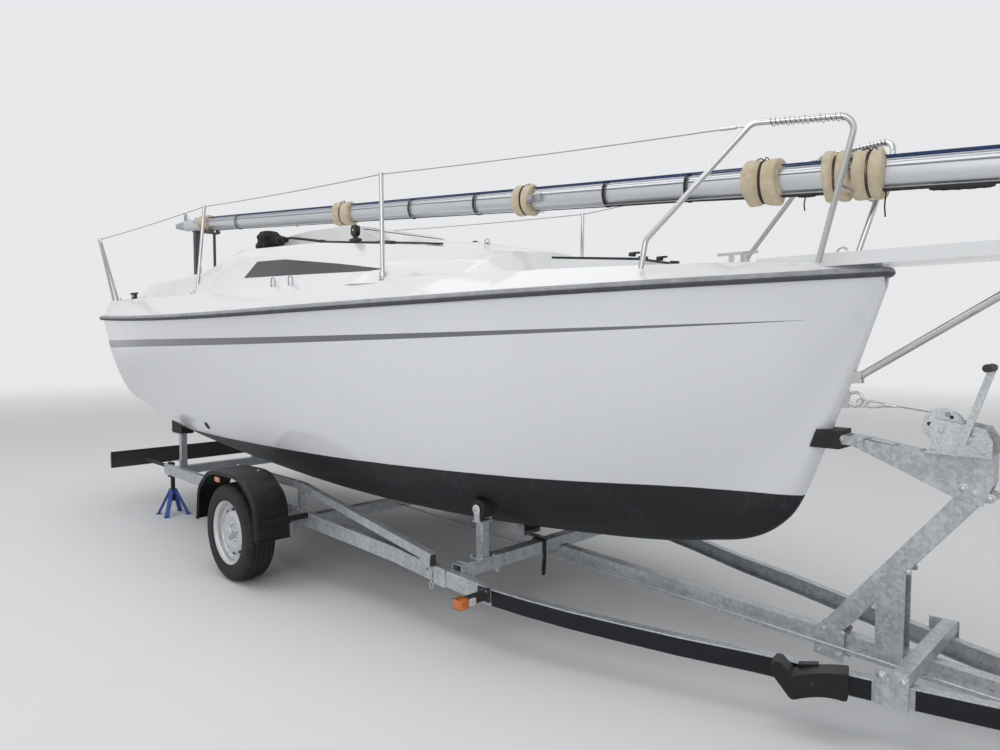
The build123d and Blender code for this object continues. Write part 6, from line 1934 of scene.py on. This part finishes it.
@dataclass
class Chock:
    """The wheel chock clipped on the starboard rail, its curved wheel side up."""

    spot: Point = (2.765, -0.4288, 0.0)
    along: Point = (0.9532, 0.3023, 0.0)
    outward: Point = (0.3023, -0.9532, 0.0)
    near: float = 0.014
    far: float = 0.104

    def outline(self) -> np.ndarray:
        """The chock from the side: a hollow wheel face above, a hollow foot below, and a horn behind.

        Returns:
            Points of two numbers, along the rail and up.
        """
        foot = bend((-0.052, 0.15), (0.04, 0.192), (0.112, 0.18), 17)
        nose = np.array([(0.124, 0.184), (0.128, 0.198), (0.128, 0.284)])
        face = bend((0.118, 0.286), (0.01, 0.274), (-0.066, 0.24), 17)
        horn = np.array([(-0.108, 0.284), (-0.13, 0.284), (-0.146, 0.262), (-0.138, 0.228), (-0.078, 0.154),
                         (-0.066, 0.146)])
        return np.concatenate([foot, nose, face, horn])

    def build(self) -> None:
        """Adds the body, its clip on the rail, a rib on the wheel face, and one bolt."""
        start, out = np.asarray(self.spot), np.asarray(self.outward)
        body = Shape()
        body.slab(self.outline(), start + out * self.near, self.along, UP, self.far - self.near)
        grip = np.array([(-0.06, 0.2), (0.06, 0.2), (0.06, 0.235), (-0.06, 0.235)])
        body.slab(grip, start - out * 0.004, self.along, UP, 0.02)
        hook = np.array([(-0.052, 0.244), (0.022, 0.26), (0.022, 0.275), (-0.052, 0.261)])
        body.slab(hook, start - out * 0.002, self.along, UP, 0.034)
        chock = body.piece("chock_body", Coat.GUARD, "black_plastic", smooth=40.0, bevel=0.003)
        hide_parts("wheel_chock")
        bolt = Shape()
        spot = start + np.asarray(self.along) * 0.004 + out * self.far + (0.0, 0.0, 0.224)
        bolt.dome(spot, self.outward, 0.005)
        bolt.piece("chock_bolt", Coat.BLACK, "black_plastic", smooth=40.0)


@dataclass
class Outlet:
    """The through-hull outlet low on the starboard quarter, on the hull's skin."""

    hull: HullSkin
    x: float = -4.34
    z: float = 0.89

    def build(self) -> None:
        """Adds the black flange and its mouth, square on the skin."""
        rows = self.hull.surface(self.x + np.array([-0.01, 0.0, 0.01]), 481)
        side = np.where(rows[1, :, 1] < 0.0)[0][1:-1]
        pick = side[np.argmin(np.abs(rows[1, side, 2] - self.z))]
        normal = np.cross(rows[2, pick] - rows[0, pick], rows[1, pick + 1] - rows[1, pick - 1])
        normal *= -np.sign(normal[1]) / np.linalg.norm(normal)
        spot = rows[1, pick] + np.array([STEM, 0.0, 0.0])
        rings = [(-0.006, 0.031), (0.002, 0.031), (0.005, 0.028), (0.0055, 0.0215), (0.004, 0.0195),
                 (0.0018, 0.019)]
        shape = Shape().lathe(spot, normal, rings, 40)
        shape.piece("hull_outlet", Coat.GUARD, "black_plastic", smooth=40.0)


class Ground:
    """The deck as a surface on which fittings stand."""

    def __init__(self, name: str) -> None:
        """Takes the mesh of a piece.

        Args:
            name: Name of the piece.
        """
        work = bmesh.new()
        work.from_mesh(bpy.data.objects[name].data)
        self.tree = BVHTree.FromBMesh(work)
        work.free()

    def drop(self, x: float, y: float, start: float = 2.4) -> np.ndarray:
        """The first surface under a point.

        Args:
            x: Place along the boat.
            y: Place to port.
            start: Height from which it looks down.

        Returns:
            The point on the surface.
        """
        return np.array(self.tree.ray_cast(Vector((x, y, start)), Vector(DOWN))[0])


@dataclass
class Tracks:
    """The short jib tracks on the roof edges, each with its car."""

    ends: Sequence[tuple[float, float]] = ((-0.552, -0.56), (0.192, -0.52))
    car: float = -0.175
    bar: Sequence[tuple[float, float]] = (
        (0.013, -0.012), (0.013, 0.004), (0.008, 0.0075), (-0.008, 0.0075), (-0.013, 0.004), (-0.013, -0.012))

    def build(self) -> None:
        """Adds the bars along the roof, with end stops, and the cars with upright sheaves."""
        ground = Ground("deck_skin")
        first, last = np.asarray(self.ends)
        share = np.linspace(0.0, 1.0, 31)[:, None]
        flat = first * (1 - share) + last * share
        height = np.array([ground.drop(float(x), float(y))[2] for x, y in flat])
        fit = np.polynomial.polynomial.polyfit(flat[:, 0], height, 2)
        path = np.column_stack([flat, np.polynomial.polynomial.polyval(flat[:, 0], fit) + 0.005])
        shape = Shape()
        shape.swept(path, np.asarray(self.bar), UP)
        for row in (path[0], path[-1]):
            shape.pillow(row + (0.0, 0.0, 0.004), (0.016, 0.0165, 0.01), 0.35, 12)
        place = int(np.argmin(np.abs(path[:, 0] - self.car)))
        base = path[place] + (0.0, 0.0, 0.01)
        shape.pillow(base + (0.0, 0.0, 0.004), (0.048, 0.024, 0.012), 0.4, 16)
        shape.pillow(base + (0.0, 0.0, 0.024), (0.017, 0.014, 0.016), 0.5, 12)
        for side in (-1.0, 1.0):
            shape.pillow(base + (0.0, 0.0165 * side, 0.066), (0.03, 0.0035, 0.036), 0.7, 20)
        sheave = [(0.0, 0.028), (0.004, 0.028), (0.009, 0.021), (0.016, 0.021), (0.021, 0.028), (0.025, 0.028)]
        shape.lathe(base + (0.0, -0.0125, 0.068), PORT, sheave, 32)
        shape.pillow(base + (0.0, 0.0, 0.098), (0.012, 0.012, 0.008), 0.6, 12)
        tracks = shape.mirrored().piece("track_bars", Coat.BLACK, "black_plastic", smooth=40.0, bevel=0.0008)
        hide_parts("jib_tracks")
        pins = Shape()
        pins.dome(base + (0.0, -0.02, 0.068), STARBOARD, 0.005)
        for step in range(3, 28, 6):
            if abs(step - place) > 2:
                pins.dome(path[step] + (0.0, 0.0, 0.007), UP, 0.0042)
        pins.mirrored().piece("track_screws", Coat.STEEL, "stainless", smooth=45.0)


@dataclass
class DeckGear:
    """Small deck fittings: rings, handles, cleat bolts, fairlead inserts, halyard lines."""

    def build(self) -> None:
        """Adds them on the deck's own surface."""
        ground = Ground("deck_skin")
        steel, black = Shape(), Shape()
        for x, y in ((-3.285, -0.985), (-1.715, -0.985), (0.6, -0.905)):
            self.eye(steel, ground.drop(x, y), 0.013, 0.0026)
        self.eye(steel, np.array([2.69, 0.0, 1.8932]), 0.024, 0.0045)
        self.eye(steel, ground.drop(0.5, 0.0), 0.02, 0.0042)
        for y in (-0.13, 0.13):
            self.handle(black, np.array([1.7, y, 1.9585]))
        for x in (2.15, 2.27):
            steel.dome((x, 0.0, 1.9005), UP, 0.006)
        pale = Shape().pillow((-3.17, -0.9215, 1.926), (0.022, 0.003, 0.012), 0.6)
        pale.mirrored().piece("fairlead_inserts", Coat.CAST, "stainless")
        steel.mirrored().piece("deck_eyes", Coat.STEEL, "stainless", smooth=45.0)
        black.piece("hatch_handles", Coat.BLACK, "black_plastic", "forehatch", 45.0, 0.0008)
        self.halyards(ground)

    def eye(self, shape: Shape, spot: np.ndarray, size: float, thick: float) -> None:
        """Adds a half ring on a small oval plate.

        Args:
            shape: What it is added to.
            spot: Where it stands.
            size: Radius of the half ring.
            thick: Radius of its wire.
        """
        turn = np.linspace(-0.25, math.pi + 0.25, 25)
        arch = spot + xyz(size * np.cos(turn), 0.0, size * np.sin(turn) * 1.25 + thick)
        shape.tube(arch, thick, PORT, 10)
        shape.pillow(spot + (0.0, 0.0, 0.0012), (size * 1.5, size * 0.7, 0.0022), 0.7, 12)

    def handle(self, shape: Shape, spot: np.ndarray) -> None:
        """Adds a turning hatch handle: a round boss with a short bar."""
        shape.lathe(spot, (0.09, 0.0, 1.0), [(0.0, 0.019), (0.01, 0.019), (0.014, 0.015)], 24)
        shape.pillow(spot + (0.014, 0.0, 0.016), (0.034, 0.008, 0.0055), 0.5, 12)

    def halyards(self, ground: Ground) -> None:
        """Adds the lines from the neck of the bag, nearly straight forward, then down on the roof.

        Args:
            ground: The deck's surface.
        """
        lines = Shape()
        for number, shift in enumerate((-0.01, 0.0, 0.011)):
            free = [(-1.15, -0.5 + shift * 0.4, 2.292), (-1.065, -0.5 + shift, 2.289 - 0.003 * number),
                    (-0.82, -0.497 + shift * 1.5, 2.254 - 0.004 * number),
                    (-0.564, -0.488 + shift * 1.8, 2.214 - 0.004 * number)]
            rows = []
            for x, y in ((-0.19, -0.478), (0.102, -0.455), (0.3, -0.43), (0.5, -0.395)):
                rows.append(ground.drop(x, y + shift * 2.0) + (0.0, 0.0, 0.0065))
            lines.tube(curve(free + rows, 120), 0.0052, PORT, 8)
        lines.piece("roof_lines", Coat.ROPE, "cloth")


def puffed(piece: bpy.types.Object, voxel: float, cap: Callable[[np.ndarray], np.ndarray]) -> None:
    """Swells a closed piece by a short cloth run, and keeps each point near where it was.

    Args:
        piece: The piece.
        voxel: Size of the new mesh's squares.
        cap: How far the points may move, worked out from where they are.
    """
    scene = bpy.context.scene
    coat = piece.data.materials[0]
    remesh = piece.modifiers.new("even", "REMESH")
    remesh.mode = "VOXEL"
    remesh.voxel_size = voxel
    mesh = bpy.data.meshes.new_from_object(piece.evaluated_get(bpy.context.evaluated_depsgraph_get()))
    piece.modifiers.clear()
    piece.data = mesh
    mesh.materials.clear()
    mesh.materials.append(coat)
    cloth = piece.modifiers.new("air", "CLOTH")
    cloth.settings.quality = 4
    cloth.settings.mass = 0.2
    cloth.settings.use_pressure = True
    cloth.settings.uniform_pressure_force = 4.0
    cloth.settings.effector_weights.gravity = 0.0
    cloth.point_cache.frame_start = 1
    cloth.point_cache.frame_end = 20
    for frame in range(1, 21):
        scene.frame_set(frame)
    swollen = bpy.data.meshes.new_from_object(piece.evaluated_get(bpy.context.evaluated_depsgraph_get()))
    before, after = np.empty(len(mesh.vertices) * 3), np.empty(len(mesh.vertices) * 3)
    mesh.vertices.foreach_get("co", before)
    swollen.vertices.foreach_get("co", after)
    piece.modifiers.clear()
    scene.frame_set(1)
    before, after = before.reshape(-1, 3), after.reshape(-1, 3)
    step = after - before
    length = np.linalg.norm(step, axis=1, keepdims=True)
    step *= np.minimum(1.0, cap(before)[:, None] / np.maximum(length, 1e-9))
    mesh.vertices.foreach_set("co", (before + step).ravel())
    mesh.polygons.foreach_set("use_smooth", [True] * len(mesh.polygons))
    mesh.update()
    LOG.info("%s swelled, %d faces", piece.name, len(mesh.polygons))


@dataclass
class Bag:
    """The tied bag of black cloth on the roof: a squat folded body, and its neck laid forward."""

    body: Sequence[tuple[float, float]] = (
        (2.212, 0.004), (2.2125, 0.07), (2.218, 0.09), (2.232, 0.0975), (2.256, 0.0985), (2.278, 0.094),
        (2.296, 0.09), (2.312, 0.091), (2.328, 0.084), (2.344, 0.074), (2.356, 0.069), (2.364, 0.064),
        (2.368, 0.052), (2.369, 0.004))
    neck: Sequence[tuple[float, float]] = (
        (-1.38, 0.004), (-1.375, 0.052), (-1.34, 0.05), (-1.315, 0.042), (-1.29, 0.031), (-1.272, 0.022),
        (-1.258, 0.0165), (-1.246, 0.02), (-1.228, 0.031), (-1.21, 0.034), (-1.195, 0.027), (-1.18, 0.018),
        (-1.168, 0.016), (-1.15, 0.0195), (-1.135, 0.018), (-1.13, 0.004))
    spot: tuple[float, float, float] = (-1.398, -0.505, 2.29)

    def folds(self, share: np.ndarray, depth: np.ndarray) -> np.ndarray:
        """Size of each cross-section round its middle.

        It is 1 + a(s) f(t), where f is a sum of three waves round the bag whose phase turns along it.

        Args:
            share: How far along each section lies, from 0 to 1.
            depth: The folds' depth a at each section.

        Returns:
            One row for each section and one column for each point round it.
        """
        turn = np.linspace(0.0, math.tau, 128, endpoint=False)[None, :]
        along = share[:, None]
        wave = (0.55 * np.sin(7 * turn + 3.0 * along) + 0.45 * np.sin(11 * turn - 5.0 * along)
                + 0.35 * np.sin(17 * turn + 9.0 * along))
        return 1.0 + depth[:, None] * wave

    def run(self, table: Sequence[tuple[float, float]], steps: int) -> np.ndarray:
        """Smooth run of a table.

        Args:
            table: Place and radius of each row.
            steps: Number of rows wanted.

        Returns:
            Those rows.
        """
        return curve(table, steps)

    def build(self) -> None:
        """Adds the bag, swells it a little, and ties its neck."""
        x, y, z = self.spot
        rows = self.run(self.body, 64)
        share = np.linspace(0.0, 1.0, len(rows))
        path = xyz(x, y, rows[:, 0])
        radius = np.maximum(rows[:, 1:], 0.003) * self.folds(share, 0.042 + 0.05 * share)
        level = 1.0 + 0.05 * np.sin(2.0 * np.pi * 3.3 * share)
        shape = Shape().swept(path, circle(128), PORT, radius * level[:, None])
        bag = shape.piece("rope_bag", Coat.CLOTH, "cloth", smooth=70.0)
        puffed(bag, 0.0045, lambda place: np.full(len(place), 0.0045))
        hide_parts("halyard_bag")
        rows = self.run(self.neck, 70)
        share = np.linspace(0.0, 1.0, len(rows))
        path = xyz(rows[:, 0], y, z - 0.01 * share)
        radius = np.maximum(rows[:, 1:], 0.003) * self.folds(share, 0.06 + 0.13 * share)
        neck = Shape().swept(path, circle(128), PORT, radius)
        neck.piece("bag_neck", Coat.CLOTH, "cloth", smooth=70.0)
        tie = Shape()
        turns = np.linspace(0.0, math.tau * 3, 90)
        for middle in (-1.262, -1.176):
            ring = xyz(middle + turns * 0.0006, y + 0.019 * np.cos(turns), z - 0.007 + 0.019 * np.sin(turns))
            tie.tube(ring, 0.003, AHEAD, 8)
        for lean in (-1.0, 1.0):
            tail = curve([(-1.256, y, z + 0.013), (-1.25, y + 0.02 * lean, z + 0.016),
                          (-1.242, y + 0.036 * lean, z - 0.004), (-1.238, y + 0.041 * lean, z - 0.034)], 20)
            tie.tube(tail, 0.0028, (0.0, 0.3, 1.0), 8)
        tie.piece("bag_tie", Coat.ROPE, "cloth")


@dataclass
class Strake:
    """The rubbing strake: rounded, along both sides and round the stem, its lower half darkened by painted shade in
    its finish.
    """

    hull: HullSkin
    line: Sequence[tuple[float, float]] = ((-6.5, 1.736), (-3.3, 1.699), (0.06, 1.814))
    profile: Sequence[tuple[float, float]] = (
        (-0.006, 0.0212), (0.006, 0.0208), (0.015, 0.0175), (0.022, 0.011), (0.0256, 0.003), (0.0262, -0.003),
        (0.0235, -0.01), (0.0165, -0.0165), (0.006, -0.0205), (-0.006, -0.0212))

    def height(self, x: np.ndarray) -> np.ndarray:
        """The sheer line's height, a parabola through its three points.

        Args:
            x: Places from the stem head.

        Returns:
            The heights.
        """
        (x0, z0), (x1, z1), (x2, z2) = self.line
        first = (z1 - z0) / (x1 - x0)
        bend = ((z2 - z1) / (x2 - x1) - first) / (x2 - x0)
        return z0 + first * (x - x0) + bend * (x - x0) * (x - x1)

    def build(self) -> None:
        """Carries the profile along the hull's sheer from one quarter round the stem to the other."""
        x = np.concatenate([np.linspace(-6.438, -0.9, 70), np.linspace(-0.9, -0.03, 40)[1:]])
        half = self.hull.frame(x)[-1, :, 0]
        bow = np.radians(np.linspace(-80.0, 80.0, 17))
        nose_x = -0.026 + 0.0265 * np.cos(bow)
        nose_y = half[-1] * np.sin(bow)
        flat_x = np.concatenate([x, nose_x, x[::-1]])
        flat_y = np.concatenate([-half, nose_y, half[::-1]])
        path = xyz(flat_x + STEM, flat_y, self.height(flat_x))
        shape = Shape().swept(path, np.asarray(self.profile) * np.array([-1.0, 1.0]), UP)
        strake = shape.piece("strake_skin", Coat.STRAKE, "strake", smooth=50.0)
        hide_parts("rubbing_strake")


@dataclass
class Rigging:
    """Bracket at the masthead, lines and boots under the mast, ties, and the lacing of the pulpit."""

    line: MastLine = field(default_factory=MastLine)

    def build(self) -> None:
        """Adds it all."""
        line = self.line
        steel, black, twine, cord = Shape(), Shape(), Shape(), Shape()
        head = line.at(-4.24, 0.0, 0.05)
        for y in (-0.011, 0.011):
            foot = head + (0.115, y, -0.012)
            top = head + (-0.002, y, 0.078)
            plate = circle(8) * np.array([0.0035, 0.006])
            steel.swept(np.array([foot, (foot + top) / 2, top]), plate, PORT)
        steel.bolt(head + (0.0, -0.013, 0.074), STARBOARD, 0.006, True, 0.003)
        knots = np.array([1.45, 1.9, 2.35, 2.76, 3.02, 3.36])
        for y, lift in ((-0.012, -0.069), (-0.022, -0.066)):
            cord.tube(curve(line.at(knots, y, lift - 0.004 * np.sin(knots * 3)), 90), 0.004, PORT, 8)
        for x0, x1, size in ((3.02, 3.24, 0.0125), (2.5, 2.58, 0.009)):
            steps = np.linspace(x0, x1, 14)
            swell = size * (0.55 + 0.45 * np.sin(np.linspace(0.0, math.pi, 14)) ** 0.4)
            swell = swell * (1.0 + 0.1 * np.sin(np.arange(14) * 2.4))
            black.tube(line.at(steps, -0.016, -0.074), swell, PORT, 14)
        for x, drop in ((2.53, 0.06), (2.86, 0.1)):
            tail = curve(line.at(np.array([x, x + 0.003, x - 0.002, x + 0.002]), -0.018, 0.0)
                         + np.array([(0, 0, -0.07), (0, 0, -0.085), (0, 0.003, -0.08 - drop / 2),
                                     (0, 0.001, -0.08 - drop)]), 18)
            black.tube(tail, 0.0032, PORT, 8)
        for y in (-0.005, 0.004):
            strand = curve([line.at(3.6, -0.037, 0.02), line.at(3.42, -0.047, -0.012), line.at(3.4, -0.043, -0.045),
                            (3.355, -0.07 + y, 2.06), (3.33, -0.11 + y, 1.95), (3.325, -0.128 + y, 1.8945)], 60)
            twine.tube(strand, 0.0018, PORT, 6)
        line.lashing(twine, 3.42, 0.045, 0.066, 0.002, 2)
        twine.piece("twine", Coat.TWINE, "cloth")
        black.piece("rope_boots", Coat.RUBBER, "cloth")
        self.lacing(cord)
        cord.piece("laced_lines", Coat.ROPE, "cloth")
        steel.piece("masthead_bracket", Coat.STEEL, "stainless", smooth=45.0)

    def lacing(self, shape: Shape) -> None:
        """Adds the cord wound loosely round the top rails of the pulpit.

        Args:
            shape: What it is added to.
        """
        for side in (-1.0, 1.0):
            start = np.array([2.52, 0.362 * side, 2.4205])
            end = np.array([2.78, 0.264 * side, 2.41])
            share = np.linspace(0.0, 1.0, 420)[:, None]
            turn = share[:, 0] * math.tau * 15
            middle = start * (1 - share) + end * share
            loose = 0.015 + 0.0022 * np.sin(share[:, 0] * 29.0)
            loop = xyz(0.0, 0.0142 * np.cos(turn), loose * np.sin(turn) - 0.003)
            shape.tube(middle + loop, 0.0012, (0.2, 1.0, 0.1), 6)


def main() -> None:
    """Builds the studio and every sub-assembly in order, and logs each one as it is built."""
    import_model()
    hull = HullSkin()
    for part in (Studio(), Carried(), hull, Strake(hull), Wheels(), MastDressing(), Lifelines(), Steelwork(), Lamps(),
                 Guards(), Chock(), Outlet(hull), Tracks(), DeckGear(), Bag(), Rigging()):
        part.build()
        LOG.info("%s built", type(part).__name__)


if __name__ == "__main__":
    logging.basicConfig(level=logging.INFO, format="%(message)s")
    main()
